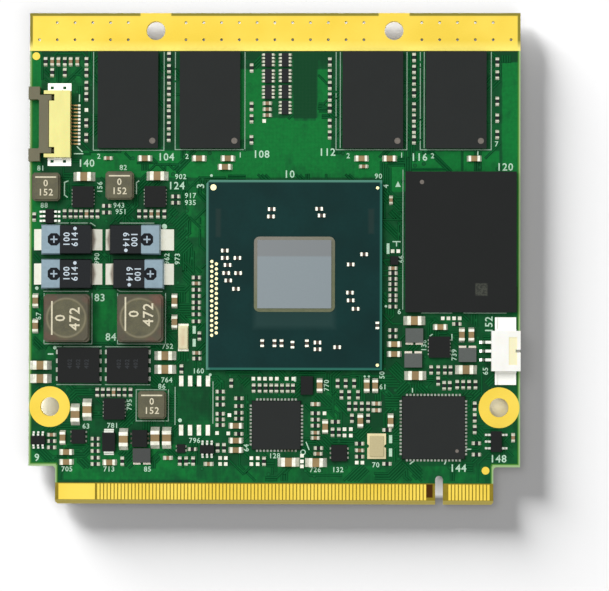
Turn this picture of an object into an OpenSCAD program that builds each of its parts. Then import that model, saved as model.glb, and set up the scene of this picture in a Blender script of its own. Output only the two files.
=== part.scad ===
// System on module: a small processor board with an edge connector, a ground strip for its cooler,
// a flat-cable socket with a sliding lock bar and a wire header.
// +Z is the component side, +Y points at the ground strip, +X to the right.
// The origin is below the board's centre, on the surface that the module lies on.

/* [Board] */
// Width of the board along X
board_w = 70; // [66:1:90]
// Length of the board along Y, from the card edge to the ground strip
board_l = 70; // [66:1:90]
// Thickness of the laminate
board_t = 1.2; // [1:0.1:2]
// Thickness of the gold plated copper
copper_t = 0.05; // [0.03:0.01:0.1]
// Width of the gold ground strip along Y
strip_w = 5.4; // [4.6:0.1:7]
// Diameter of the four mounting holes
hole_d = 2.7; // [2.2:0.1:3.3]
// Distance between the two holes in the ground strip
strip_hole_span = 34; // [28:0.5:42]
// Distance from the top edge to the holes in the ground strip
strip_hole_inset = 2.5; // [2.2:0.1:3]
// Distance from each side edge to the lower holes
ring_hole_inset = 3; // [3:0.1:4]
// Distance from the card edge to the lower holes
ring_hole_rise = 13.8; // [12:0.1:16]
// Diameter of the gold ring round the lower holes
ring_d = 5.8; // [4:0.1:5.8]
// Diameter of the small holes in the ground strip
via_d = 0.4; // [0.3:0.05:0.6]
// Distance between the small holes in the ground strip
via_pitch = 2.54; // [2:0.01:3]

/* [Card edge] */
// Width of the tongue that goes into the slot
tongue_w = 62.4; // [56:0.1:64]
// Length of the tongue
tongue_l = 5.35; // [4.5:0.05:6.5]
// Distance between edge contacts
finger_pitch = 0.5; // [0.4:0.05:0.8]
// Width of an edge contact
finger_w = 0.34; // [0.2:0.02:0.38]
// Length of an edge contact
finger_l = 2.25; // [1.5:0.05:3]
// Distance from the card edge to the contacts
finger_inset = 0.62; // [0.6:0.02:1]
// Width of the wide power contact at the left end
power_finger_w = 5.2; // [2:0.1:8]
// Width of the key notch
notch_w = 1.1; // [0.9:0.05:1.6]
// Depth of the key notch
notch_depth = 4.1; // [3:0.1:4.8]
// Distance from the tongue's right edge to the notch's centre
notch_inset = 7.7; // [6:0.1:12]
// Length of the bevel on the card edge
bevel_l = 0.6; // [0.3:0.05:0.6]
// Depth of the bevel on each face
bevel_depth = 0.3; // [0.1:0.05:0.4]

/* [Processor] */
// Width of the processor's package
package_w = 25; // [24:0.5:26.5]
// Length of the processor's package
package_l = 27; // [26:0.5:28]
// Thickness of the package substrate
package_t = 0.9; // [0.6:0.1:1.4]
// Width of the die
die_w = 10.5; // [8:0.1:12.6]
// Length of the die
die_l = 9.7; // [8:0.1:11.7]
// Thickness of the die
die_t = 0.75; // [0.5:0.05:0.9]
// Width of the underfill at the foot of the die
underfill_w = 0.5; // [0.2:0.05:0.8]
// Height of the processor's solder balls
package_ball_h = 0.35; // [0.2:0.05:0.5]
// Distance between the processor's solder balls
package_ball_pitch = 0.8; // [0.7:0.05:1.3]

/* [Memory and controllers] */
// Width of a memory chip
memory_w = 8.6; // [7:0.1:8.8]
// Length of a memory chip
memory_l = 13.8; // [11:0.1:14]
// Thickness of a memory chip over its carrier
memory_t = 0.65; // [0.4:0.05:1]
// Width of the flash chip
flash_w = 15.8; // [12:0.1:16]
// Length of the flash chip
flash_l = 20; // [14:0.1:20]
// Thickness of the laminate carrier under a chip
carrier_t = 0.25; // [0.15:0.05:0.4]
// Height of a chip's solder balls
chip_ball_h = 0.3; // [0.2:0.05:0.4]
// Side of the large controller
controller_w = 9; // [7:0.1:9.4]
// Side of the small controller
small_controller_w = 7; // [5:0.1:7.4]
// Thickness of the controllers
controller_t = 0.9; // [0.6:0.05:1.2]

/* [Power parts] */
// Length of a polymer capacitor's body
polymer_l = 7.3; // [6:0.1:7.6]
// Width of a polymer capacitor's body
polymer_w = 4.3; // [3:0.1:4.5]
// Height of a polymer capacitor
polymer_h = 1.9; // [1.4:0.1:2.8]
// Width of a large inductor
choke_w = 6.5; // [5:0.1:6.8]
// Length of a large inductor
choke_l = 6.8; // [5.5:0.1:7]
// Height of a large inductor
choke_h = 3; // [2:0.1:4]
// Side of a small inductor
small_choke_w = 4; // [3:0.1:4.2]
// Height of a small inductor
small_choke_h = 2; // [1.2:0.1:2.4]
// Length of a power stage
stage_l = 5.9; // [5:0.1:6]
// Width of a power stage
stage_w = 5; // [4:0.1:5.2]

/* [Flat-cable socket] */
// Number of contacts
socket_ways = 12; // [6:1:13]
// Distance between contacts
socket_pitch = 0.5; // [0.5:0.05:0.6]
// Height of the socket
socket_h = 2; // [1.8:0.1:3]
// Distance that the lock bar slides
lock_travel = 1.2; // [0.8:0.1:1.4]
// Thickness of the flat cable's slot
slot_h = 0.8; // [0.6:0.05:0.9]

/* [Wire header] */
// Number of pins
header_ways = 3; // [2:1:4]
// Distance between pins
header_pitch = 1.25; // [1:0.05:1.5]
// Height of the header
header_h = 3.2; // [2.6:0.1:3.6]
// Depth of the header's housing
header_depth = 4.1; // [3.6:0.1:4.6]

/* [Hidden] */
$fn = 48;
eps = 0.01;

// The layout is drawn on a 70 mm board. On a wider or longer board each group keeps its distance
// from the edge beside it, and the processor's group stays in the middle.
layout_w = 70;
layout_l = 70;
grow_x = (board_w - layout_w) / 2;
grow_y = (board_l - layout_l) / 2;
left_group = -12.2;
right_group = 15.5;
upper_group = 14.9;
lower_group = -16.6;
function at(p) = [
    p[0] + (p[0] < left_group ? -grow_x : p[0] > right_group ? grow_x : 0),
    p[1] + (p[1] > upper_group ? grow_y : p[1] < lower_group ? -grow_y : 0)
];
function row(y, xs) = [for (x = xs) [x, y]];
function column(x, ys) = [for (y = ys) [x, y]];
function grid(xs, ys) = [for (x = xs, y = ys) [x, y]];
// Evenly spaced values round zero
function spaced(count, pitch) = [for (i = [0 : count - 1]) (i - (count - 1) / 2) * pitch];

// Two-terminal chips: [length, width, height, length of an end cap, reach of the solder fillet]
chip_0402_resistor = [1.0, 0.5, 0.35, 0.25, 0.17];
chip_0402_capacitor = [1.0, 0.5, 0.5, 0.25, 0.17];
chip_0603 = [1.6, 0.8, 0.8, 0.35, 0.25];
chip_0805 = [2.0, 1.25, 1.1, 0.5, 0.55];
chip_wide = [1.0, 0.55, 0.4, 0.3, 0.2];
chip_on_package = [1.0, 0.5, 0.3, 0.27, 0.1];
chip_pad_lip = 0.04;
chip_body_inset = 0.02;

// Levels
bulk_h = chip_0603[2];
board_z = bulk_h;
top_z = board_z + board_t;
package_z = top_z + package_ball_h;
package_top_z = package_z + package_t;
tongue_y = -board_l / 2;
shoulder_y = tongue_y + tongue_l;
strip_y = board_l / 2 - strip_w;
hole_plating = 0.05;
strip_holes = [for (s = [-1, 1]) [s * strip_hole_span / 2, board_l / 2 - strip_hole_inset]];
ring_holes = [for (s = [-1, 1]) [s * (board_w / 2 - ring_hole_inset), tongue_y + ring_hole_rise]];
notch_x = tongue_w / 2 - notch_inset;

// Small holes in the strip, in two rows: [distance from the top edge, margin to the side edges].
// Those between the mounting holes are centred, and those outside start beside the holes.
via_rows = [[1.35, 2.5], [3.8, 1.2]];
via_keepout = hole_d / 2 + 1.4;
via_outer_start = hole_d / 2 + 2.6;
inner_vias = floor((strip_hole_span / 2 - via_keepout) / via_pitch);
via_places = [
    for (r = via_rows)
        let (y = board_l / 2 - r[0])
        each concat(
            [for (i = [-inner_vias : inner_vias]) [i * via_pitch, y]],
            [
                for (
                    s = [-1, 1],
                    x = [strip_hole_span / 2 + via_outer_start : via_pitch : board_w / 2 - r[1]]
                )
                    [s * x, y]
            ]
        )
];

// Edge contacts run from the power contact to the notch, and from the notch to the right end
finger_margin = 0.5;
notch_bare_w = 1.55;
finger_row_start = -tongue_w / 2 + finger_margin + power_finger_w + finger_pitch / 2;
finger_count = floor((tongue_w / 2 - finger_margin - finger_row_start) / finger_pitch);
finger_places = [
    for (i = [0 : finger_count])
        let (x = finger_row_start + i * finger_pitch)
        if (x < notch_x - notch_w / 2 - notch_bare_w || x > notch_x + notch_w / 2 + finger_pitch) x
];

processor_at = [2.85, -2.4];
die_at = [0.05, 0.1];

// Places of chips, from the front view
memory_places = [[-20.9, 22.55], [-9.2, 22.55], [14, 22.55], [25.85, 22.55]];
flash_at = [26.55, 2.35];
large_controller_at = [22.68, -24.05];
small_controller_at = [0.35, -23.75];
polymer_places = [[-29.43, 2.6], [-19.2, 2.6], [-29.43, -2.3], [-19.2, -2.3]];
// Shift of each body along its footprint
polymer_shift = [-0.12, -0.6, -0.12, -0.1];
polymer_pad_span = 9.75;
large_choke_places = [[-29.4, -8.6], [-18.95, -8.6]];
small_choke_places = [[-32.5, 10.1], [-22, 10.3], [-17.3, -20.9]];
stage_places = [[-27.85, -15.3], [-20.85, -15.3]];
regulator_places = [[-27.3, 8.7], [-17, 8.75], [-22.75, -21.5]];
right_regulator_at = [23.5, -12.6];
chip_choke_places = [[19.95, -10.95, -1], [19.8, -14.5, 1], [27.5, -13.7, 1], [-18.8, -28.1, -1]];

// Two-terminal parts, by the way that they lie
resistors_upright = concat(
    row(28.05, [-32.75, -30]), row(26.5, [-31.8, -30]),
    column(-26.9, [28.05, 26.5, 24.65, 23.05, 19.3, 17.2]),
    column(-15.1, [28.8, 27.05, 25.4, 23.8, 22.15, 20.6, 18.9, 17.25]),
    column(-3.3, [27.15, 21.65, 19.9, 16.9]),
    column(7.85, [28, 26.35, 24.65, 23, 21.4, 19.25, 17.6]),
    column(19.85, [28.65, 26.95, 25.3, 23.6, 21.6, 20, 18.4, 16.9]),
    column(31.7, [28, 26.15, 22.4, 20, 17.65]),
    row(6.3, [-29.95, -29.1, -28.35, -27.6, -26.05, -25.25]),
    row(6.3, [-19.3, -18.4, -15.7]), row(5.85, [-34.3]),
    row(-19.15, [-25.2, -24.4, -23.6, -22.1, -21.3, -20.45]),
    row(-28.9, [-13.4, -12.5, -11.5, -1.4]), row(-28.95, [-21.6]),
    row(-27, [-8, -7.1]), row(-18.5, [-2.9, -2.05, -1.2, -0.4, 0.35, 1.15, 1.95, 2.7]),
    row(-17.8, [9.05, 10.2, 11.4, -6.1]), row(-19.4, [9.6, 10.7, 11.95]),
    row(-21.05, [10.7, 11.6, 12.5, 13.4]), row(-22.75, [11.1, 13.4]),
    row(-24.75, [8.35, 9.25]), row(-11.1, [-10.65]), row(-15.8, [-13.2]),
    row(-15.85, [22.35, 23.35, 24.3, 25.1]), row(-17.45, [23.35]), row(-18.08, [24.2, 25]),
    row(-17.93, [26.05, 26.9, 27.75, 28.65]), column(28.55, [-21, -22.65, -24.3])
);
resistors_flat = concat(
    column(-23.95, [7.45, 6.5]), column(-14.1, [8.8, 7.9]),
    column(-31.7, [-26.1, -27]), column(-25.45, [-25.75, -26.6, -27.5, -28.45, -29.35]),
    column(-11.1, [-2.75, -4.5, -5.4, -6.3, -7.1, -8, -9]), column(-11, [-14.3]),
    column(-7.65, [-19, -19.95, -20.85, -22.15, -22.95, -23.75]),
    column(-5, [-19.95, -21.05, -22, -22.85, -25]), column(-11.6, [-27.2]),
    column(5.9, [-22.05, -22.95, -23.8]), column(8.75, [-23.25]),
    column(12.2, [-26.35, -28.2]), column(16.1, [-29.2, -24.4]), column(6.35, [-27]),
    column(16.9, [-2.1, -2.9, -3.65, -4.4, -5.25, -5.95, -6.85, -10.2, -11.1]),
    column(28.8, [-26.25, -27.85]), column(26, [-9.3])
);
capacitors_upright = concat(
    row(28.05, [-31.8, -30.9, -29.15, -28.2]), row(6.3, [-26.8, -17.55, -16.6]),
    row(-19.15, [-22.85]), row(8.3, [16.6]), row(-25.45, [34])
);
capacitors_flat = concat(
    column(-23.75, [14.25]), column(12.7, [13.1]), column(-31.7, [-25.2]),
    column(-11.1, [-3.6]), column(-11, [-13.5]), column(5.9, [-24.8, -25.55]),
    column(12.2, [-27.3]), column(6.3, [-27.8]), column(16.9, [-1.4]),
    column(-1.05, [22.1, 21.25, 20.4])
);
medium_upright = concat(
    column(-34.05, [-6.1, -9.7]), column(-14.2, [-6.1, -9.1]), column(-30.1, [-25.6]),
    row(-18.1, [6.5, 13.2, 14.4]), row(-23.95, [7.3]), row(-23.1, [12.3, 16.6]),
    row(-10.85, [26.7, 28.05])
);
medium_flat = concat(
    row(14.22, [-18.5, -10.75, -6.65, 12.4, 16.4, 28.43]), row(13, [-7.05]),
    column(-23.4, [-29.1]), column(-29.56, [-27.65, -29.07]), column(-5.4, [-23.85, -25.95, -27.3]),
    column(17.1, [-12.2, -13.6]), column(23.65, [-9.75])
);
large_flat = [
    [-27.15, 11.6], [-16.7, 11.7], [-33.3, -15.3], [-33.3, -17.2], [-15.5, -13.9], [-15.5, -15.85],
    [2.1, -29], [6, -29.05], [19.95, -8.85], [20.1, -16.65], [27.3, -15.8]
];
large_upright = [[-28.3, -22.3], [-26.6, -21.6], [-21.4, -25.8], [-16.9, -25.6], [-15.25, -25.6]];
wide_flat = [[14.6, -20.65], [14.6, -21.6], [5.9, -20.75], [-15.1, -28.45], [-9.3, -29.3]];
// Resistor arrays: four resistors side by side, 0.5 mm apart
array_places = [
    [-0.9, 28.3], [-0.9, 26], [-0.9, 23.7], [1.5, 28.3], [1.5, 26.05], [1.5, 23.75], [1.5, 21.5]
];
array_chip = [1.6, 2, 0.45, 0.3, 0.15];
array_ways = 4;
array_pitch = 0.5;
array_cap_w = 0.3;

// Small packages with leads:
// [place, body length along X, body width, height, lead reach, leads on the right, leads on the left]
three = [-0.65, 0, 0.65];
small_ics = [
    [[-32.05, 5.95], 1.25, 2, 0.95, 0.85, three, three],
    [[31.6, -26], 1.6, 2.9, 1.15, 0.8, [-0.95, 0.95], [-0.95, 0, 0.95]],
    [[4.7, -18.1], 1.8, 2.6, 0.9, 0, [], []],
    [[-19.1, -25.7], 2.2, 2.4, 0.9, 0.25, three, three],
    [[-27.85, -25.45], 2, 2, 0.75, 0.2, three, three],
    [[9.3, -27.7], 2.3, 2.3, 0.75, 0.2, three, three],
    [[-13.2, -27.1], 1.2, 1.2, 0.6, 0.2, [-0.3, 0.3], [-0.3, 0.3]],
    [[17.1, -0.3], 1.2, 1.2, 0.6, 0, [], []]
];
// The same packages turned by a quarter
turned_ics = [
    [[-33.6, -25.95], 1.25, 2, 0.95, 0.6, three, three],
    [[-9.5, -27.2], 1.25, 2, 0.95, 0.6, three, three],
    [[-23.5, -26.2], 2.7, 1.8, 1.1, 0.5, [0], [0]]
];
diode_lead_w = 1.4;
small_lead_w = 0.3;

// Two-terminal chip
module chip_body(size) {
    gap = chip_body_inset;
    translate([-(size[0] / 2 - size[3]), -size[1] / 2 + gap, 0])
        cube([size[0] - 2 * size[3], size[1] - 2 * gap, size[2] - gap]);
}

// An end cap with the solder fillet at its foot
module chip_end(size) {
    inner = size[0] / 2 - size[3];
    end = size[0] / 2;
    translate([0, size[1] / 2, 0]) rotate([90, 0, 0])
        linear_extrude(height = size[1])
            polygon([
                [inner, 0], [end + size[4], 0], [end + size[4], chip_pad_lip],
                [end, size[2] * 0.7], [end, size[2]], [inner, size[2]]
            ]);
}

module chip_ends(size) {
    chip_end(size);
    mirror([1, 0, 0]) chip_end(size);
}

// Puts a shape at each place, turned by a quarter when upright
module place_each(places, upright = false) {
    for (p = places)
        translate([at(p)[0], at(p)[1], top_z]) rotate(upright ? 90 : 0) children();
}

// Board
module key_notch() {
    translate([notch_x, tongue_y - eps]) {
        translate([-notch_w / 2, 0]) square([notch_w, notch_depth - notch_w / 2 + eps]);
        translate([0, notch_depth - notch_w / 2 + eps]) circle(d = notch_w);
    }
}

shoulder_r = 0.5;
tongue_chamfer = 0.3;
module board_outline() {
    difference() {
        union() {
            translate([-board_w / 2, shoulder_y]) square([board_w, board_l - tongue_l]);
            polygon([
                [-tongue_w / 2, shoulder_y + eps], [-tongue_w / 2, tongue_y + tongue_chamfer],
                [-tongue_w / 2 + tongue_chamfer, tongue_y], [tongue_w / 2 - tongue_chamfer, tongue_y],
                [tongue_w / 2, tongue_y + tongue_chamfer], [tongue_w / 2, shoulder_y + eps]
            ]);
            for (s = [-1, 1])
                translate([s * tongue_w / 2, shoulder_y]) shoulder_fillet(s);
        }
        key_notch();
        for (p = concat(strip_holes, ring_holes))
            translate(p) circle(d = hole_d + 2 * hole_plating);
        strip_vias();
    }
}

module shoulder_fillet(side) {
    mirror([side < 0 ? 1 : 0, 0])
        difference() {
            translate([-eps, -shoulder_r]) square([shoulder_r + eps, shoulder_r + eps]);
            translate([shoulder_r, -shoulder_r]) circle(r = shoulder_r);
        }
}

module strip_vias() {
    for (p = via_places) translate(p) circle(d = via_d);
}

module edge_bevel() {
    translate([-tongue_w / 2 - 1, tongue_y, 0]) rotate([90, 0, 90])
        linear_extrude(height = tongue_w + 2) {
            polygon([[-1, -1], [bevel_l, 0], [-eps, bevel_depth], [-1, bevel_depth]]);
            polygon([
                [-1, board_t + 1], [bevel_l, board_t],
                [-eps, board_t - bevel_depth], [-1, board_t - bevel_depth]
            ]);
        }
}

module circuit_board() {
    color("#12602F") translate([0, 0, board_z])
        difference() {
            linear_extrude(height = board_t) board_outline();
            edge_bevel();
        }
}

module ground_strip(z) {
    color("#F5D94E") translate([0, 0, z])
        linear_extrude(height = copper_t)
            difference() {
                translate([-board_w / 2, strip_y]) square([board_w, strip_w]);
                for (p = strip_holes) translate(p) circle(d = hole_d + 2 * hole_plating);
                strip_vias();
            }
}

module edge_contacts(z) {
    y = tongue_y + finger_inset;
    color("#F5D94E") translate([0, 0, z]) {
        translate([-tongue_w / 2 + finger_margin, y, 0]) cube([power_finger_w, finger_l, copper_t]);
        for (x = finger_places)
            translate([x - finger_w / 2 + finger_pitch / 2, y, 0]) cube([finger_w, finger_l, copper_t]);
    }
}

// The tube in each mounting hole, and at the lower two a ring on both faces
module plated_holes() {
    wall_d = hole_d + 2 * hole_plating;
    color("#F5D94E") {
        for (p = strip_holes)
            translate([p[0], p[1], board_z - copper_t])
                linear_extrude(height = board_t + 2 * copper_t)
                    difference() { circle(d = wall_d); circle(d = hole_d); }
        for (p = ring_holes)
            translate([p[0], p[1], board_z - copper_t])
                difference() {
                    union() {
                        cylinder(d = ring_d, h = copper_t);
                        cylinder(d = wall_d, h = board_t + 2 * copper_t);
                        translate([0, 0, board_t + copper_t]) cylinder(d = ring_d, h = copper_t);
                    }
                    translate([0, 0, -1]) cylinder(d = hole_d, h = board_t + 2);
                }
    }
}

fiducial_d = 1.1;
fiducial_places = [[board_w / 2 - 4.9, shoulder_y - 0.5], [-board_w / 2 + 0.9, strip_y - 0.75]];
module fiducials() {
    color("#F5D94E")
        for (p = fiducial_places) translate([p[0], p[1], top_z]) cylinder(d = fiducial_d, h = copper_t);
}

// Pads of places that are left empty, and test pads
bare_pad = 0.5;
empty_place_at = [-11.32, -21];
empty_place_pad = [0.6, 1.5, copper_t];
empty_place_span = 7.75;
empty_place_pitch = 1.27;
module bare_pads() {
    singles = concat(
        row(-28.45, [-7.65, -6.85, -3.2, -2.3]), row(-29.3, [-7.65, -6.85, -3.2, -2.3]),
        row(-24.3, [10.05, 10.95]), row(-25.2, [10.05, 10.95]), column(4, [-28.1, -28.9, -29.6]),
        row(-29.05, [11.8, 12.6]), row(-22.05, [7.2]), row(-8.5, [24, 24.8, 25.6, 26.4]),
        row(-17.15, [-2.95, -2.1, -1.3, -0.45, 0.4, 1.8, 2.75]), row(1.05, [16.85, 17.65]),
        [[-26.9, 21.15], [-1.5, 19.6], [-6.35, -22.35], [-6.5, -24.95], [-8.1, -24.9]]
    );
    color("#F4F8EC") {
        for (s = [-1, 1]) place_each([watch_crystal_at])
            translate([0, s * (watch_base_size[1] + watch_land[1]) / 2, 0]) block(watch_land);
        place_each(singles)
            translate([-bare_pad / 2, -bare_pad / 2, 0]) cube([bare_pad, bare_pad, copper_t]);
        place_each([empty_place_at])
            for (x = spaced(4, empty_place_pitch), y = spaced(2, empty_place_span - empty_place_pad[1] / 2))
                translate([x - empty_place_pad[0] / 2, y - empty_place_pad[1] / 2, 0]) cube(empty_place_pad);
        socket_frame()
            for (y = spaced(socket_ways, socket_pitch))
                translate([socket_back + contact_foot, y - contact_land[1] / 2, 0]) cube(contact_land);
    }
}

// Processor
module on_package() {
    translate([processor_at[0], processor_at[1], package_top_z]) children();
}

module processor_substrate() {
    corner = 0.5;
    color("#1B3A3B") translate([processor_at[0], processor_at[1], package_z])
        linear_extrude(height = package_t)
            polygon([
                [-package_w / 2 + corner, package_l / 2], [-package_w / 2, package_l / 2 - corner],
                [-package_w / 2, -package_l / 2], [package_w / 2, -package_l / 2],
                [package_w / 2, package_l / 2]
            ]);
}

module processor_die() {
    color("#8E9AA0") on_package()
        translate([die_at[0] - die_w / 2, die_at[1] - die_l / 2, 0]) cube([die_w, die_l, die_t]);
}

// A rectangle with round corners
module rounded(w, l, r) {
    square([w - 2 * r, l], center = true);
    square([w, l - 2 * r], center = true);
    for (x = [-1, 1], y = [-1, 1]) translate([x * (w / 2 - r), y * (l / 2 - r)]) circle(r = r);
}

// A sloping bead round the foot of the die
underfill_corner_r = 0.8;
module processor_underfill() {
    rise = die_t * 0.6;
    w = die_w / 2;
    l = die_l / 2;
    color("#5B6A55") on_package() translate([die_at[0], die_at[1], 0])
        difference() {
            intersection() {
                translate([0, l + underfill_w, 0]) rotate([90, 0, 0])
                    linear_extrude(height = 2 * (l + underfill_w))
                        polygon([[-w - underfill_w, 0], [w + underfill_w, 0], [w, rise], [-w, rise]]);
                translate([-w - underfill_w, 0, 0]) rotate([90, 0, 90])
                    linear_extrude(height = 2 * (w + underfill_w))
                        polygon([[-l - underfill_w, 0], [l + underfill_w, 0], [l, rise], [-l, rise]]);
                linear_extrude(height = rise)
                    rounded(2 * (w + underfill_w), 2 * (l + underfill_w), underfill_corner_r);
            }
            translate([-w, -l, -1]) cube([die_w, die_l, die_t + 2]);
        }
}

// The two outer rows of balls, which are the ones that show at the package's edge
package_ball_d = 0.5;
package_ball_margin = 0.7;
module processor_balls() {
    nx = floor((package_w - 2 * package_ball_margin) / package_ball_pitch) + 1;
    ny = floor((package_l - 2 * package_ball_margin) / package_ball_pitch) + 1;
    xs = spaced(nx, package_ball_pitch);
    ys = spaced(ny, package_ball_pitch);
    color("#B9BDC0") translate([processor_at[0], processor_at[1], top_z])
        for (i = [0 : nx - 1], j = [0 : ny - 1])
            if (min(i, j, nx - 1 - i, ny - 1 - j) < 2)
                translate([xs[i], ys[j], 0]) solder_ball(package_ball_d, package_ball_h);
}

module solder_ball(d, h) {
    cylinder(d = d, h = h);
}

package_chips_flat = [
    [-3.2, 9.35], [-3.3, 8.3], [3.55, 9.4], [3.9, 8.45], [-9.85, 3.45], [-9.85, 2.4], [-8.05, 2.4],
    [-9.45, 1.4], [-9.65, 0.25], [-7.95, 0.25], [-9.35, -0.8], [-8.25, -2], [9.95, 2.95], [8.05, 1.5],
    [7.95, -2.5], [8.05, -3.6], [8.75, -4.8], [3.35, -9.6], [3.35, -10.55], [6.15, -10.25]
];
package_chips_upright = [
    [11.85, -7.15], [-4.5, -9.7], [-2.75, -9.7], [-1.75, -9.7], [-0.2, -9.9], [1.85, -9.7]
];
module each_package_chip() {
    on_package() {
        for (p = package_chips_flat) translate(p) children();
        for (p = package_chips_upright) translate(p) rotate(90) children();
    }
}

module processor_capacitors() {
    color("#7A5A3C") each_package_chip() chip_body(chip_on_package);
}

module processor_capacitor_caps() {
    color("#D9CF9A") each_package_chip() chip_ends(chip_on_package);
}

// Test lands: two staggered columns, a corner mark and two lands at the right: [inset, first Y, count]
land_d = 0.45;
land_pitch = 0.7;
corner_land_d = 0.85;
land_columns = [[0.8, 1.9, 16], [1.45, 1.55, 15]];
module processor_test_lands() {
    left = -package_w / 2;
    top = package_l / 2;
    color("#F5D94E") on_package() {
        for (c = land_columns, i = [0 : c[2] - 1])
            translate([left + c[0], c[1] - i * land_pitch, 0]) cylinder(d = land_d, h = copper_t);
        translate([left + 1, top - 1.05, 0]) cylinder(d = corner_land_d, h = copper_t);
        for (y = [top - 1.1, 0.7 - top])
            translate([-left - 0.65, y, 0]) cylinder(d = land_d, h = copper_t);
    }
}

// Memory and flash, each with a round dimple: [inset from the side, inset from the end]
dimple_depth = 0.06;
memory_dimple_d = 0.9;
memory_dimple = [0.8, 1.05];
flash_dimple_d = 0.65;
flash_dimple = [2.35, 1.5];
module memory_chip(i) {
    place_each([memory_places[i]]) translate([0, 0, chip_ball_h + carrier_t])
        difference() {
            color("#303331")
                translate([-memory_w / 2, -memory_l / 2, 0]) cube([memory_w, memory_l, memory_t]);
            translate([memory_w / 2 - memory_dimple[0], memory_dimple[1] - memory_l / 2, 0])
                translate([0, 0, memory_t - dimple_depth]) cylinder(d = memory_dimple_d, h = 1);
        }
}

module flash_chip() {
    color("#282A2B") place_each([flash_at]) translate([0, 0, chip_ball_h + carrier_t])
        difference() {
            translate([-flash_w / 2, -flash_l / 2, 0]) cube([flash_w, flash_l, memory_t]);
            translate([flash_dimple[0] - flash_w / 2, flash_l / 2 - flash_dimple[1], memory_t - dimple_depth])
                cylinder(d = flash_dimple_d, h = 1);
        }
}

module chip_carriers() {
    color("#3E5A32") {
        for (p = memory_places) place_each([p])
            translate([-memory_w / 2, -memory_l / 2, chip_ball_h]) cube([memory_w, memory_l, carrier_t]);
        place_each([flash_at])
            translate([-flash_w / 2, -flash_l / 2, chip_ball_h]) cube([flash_w, flash_l, carrier_t]);
    }
}

// Balls: six columns under a memory chip, and a frame two balls wide under the flash chip
chip_ball_d = 0.42;
memory_ball_pitch = 0.8;
flash_ball_pitch = 1;
module chip_balls() {
    rows = floor((memory_l - 1) / memory_ball_pitch);
    color("#B9BDC0") {
        for (x = [-4, -3, -2, 2, 3, 4], y = spaced(rows, memory_ball_pitch))
            place_each(memory_places)
                translate([x * memory_ball_pitch, y, 0]) solder_ball(chip_ball_d, chip_ball_h);
        place_each([flash_at])
            for (x = spaced(12, flash_ball_pitch), y = spaced(14, flash_ball_pitch))
                if (max(abs(x), abs(y) - 1) > 4) translate([x, y, 0]) solder_ball(chip_ball_d, chip_ball_h);
    }
}

// Controllers: flat packages with a row of leads along each side
quad_lead_pitch = 0.5;
quad_lead = [0.28, 0.3, 0.22];
quad_corner = 0.5;
module quad_body(w) {
    slope = 0.12;
    difference() {
        translate([-w / 2, -w / 2, 0]) cube([w, w, controller_t]);
        for (a = [0 : 90 : 270]) rotate(a)
            translate([-w, w / 2, controller_t]) rotate([90, 0, 90]) linear_extrude(height = 2 * w)
                polygon([[-slope, eps], [eps, eps], [eps, -controller_t / 2]]);
    }
}

module quad_leads(w, count) {
    for (a = [0 : 90 : 270], x = spaced(count, quad_lead_pitch)) rotate(a)
        translate([x - quad_lead[0] / 2, w / 2, 0]) rotate([90, 0, 90])
            linear_extrude(height = quad_lead[0])
                polygon([[0, 0], [quad_lead[1], 0], [quad_lead[1], chip_pad_lip], [0, quad_lead[2]]]);
}

function lead_count(w) = floor((w - 2 * quad_corner) / quad_lead_pitch);

module large_controller() {
    color("#2E302F") place_each([large_controller_at]) quad_body(controller_w);
}

module small_controller() {
    color("#2E302F") place_each([small_controller_at]) quad_body(small_controller_w);
}

module controller_leads() {
    color("#D8DCD4") {
        place_each([large_controller_at]) quad_leads(controller_w, lead_count(controller_w));
        place_each([small_controller_at]) quad_leads(small_controller_w, lead_count(small_controller_w));
    }
}

// Polymer capacitors: a moulded body with sloping ends, held by a strip at each end
polymer_part_line = 0.45;
polymer_slope = 0.18;
polymer_seat = 0.1;
polymer_foot_w = 3;
// End profile of a moulded body that is widest at its part line
module moulded_profile(w, low, mid, high, slope) {
    half = w / 2;
    polygon([
        [-half + slope, low], [-half, mid], [-half + slope, high],
        [half - slope, high], [half, mid], [half - slope, low]
    ]);
}

module polymer_capacitor(i) {
    h = polymer_h;
    mid = h * polymer_part_line;
    color("#22262A") place_each([polymer_places[i]])
        translate([polymer_shift[i], 0, 0])
            intersection() {
                translate([0, polymer_w / 2, 0]) rotate([90, 0, 0]) linear_extrude(height = polymer_w)
                    moulded_profile(polymer_l, polymer_seat, mid, h, polymer_slope);
                translate([-polymer_l / 2, 0, 0]) rotate([90, 0, 90]) linear_extrude(height = polymer_l)
                    moulded_profile(polymer_w, polymer_seat, mid, h, polymer_slope);
            }
}

module polymer_terminal(inner, outer) {
    mid = polymer_h * polymer_part_line;
    t = 0.12;
    translate([0, polymer_foot_w / 2, 0]) rotate([90, 0, 0]) linear_extrude(height = polymer_foot_w)
        polygon([
            [inner, 0], [outer, 0], [outer, chip_pad_lip],
            [inner + t, mid * 0.7], [inner + t, mid], [inner, mid]
        ]);
}

module polymer_terminals() {
    color("#F4F8EC")
        for (i = [0 : len(polymer_places) - 1]) place_each([polymer_places[i]]) {
            polymer_terminal(polymer_l / 2 + polymer_shift[i], polymer_pad_span / 2);
            mirror([1, 0, 0]) polymer_terminal(polymer_l / 2 - polymer_shift[i], polymer_pad_span / 2);
        }
}

// Inductors: a pressed block with cut corners and a slightly smaller crown
terminal_t = 0.15;
crown_h = 0.35;
crown_inset = 0.2;
choke_corner = 0.35;
module choke_body(w, l, h) {
    translate([0, 0, terminal_t])
        linear_extrude(height = h - crown_h - terminal_t) choke_outline(w, l, choke_corner);
    translate([0, 0, h - crown_h]) linear_extrude(height = crown_h)
        intersection() {
            square([w - 2 * crown_inset, l - 2 * crown_inset], center = true);
            circle(d = 1.2 * max(w, l));
        }
}

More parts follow.
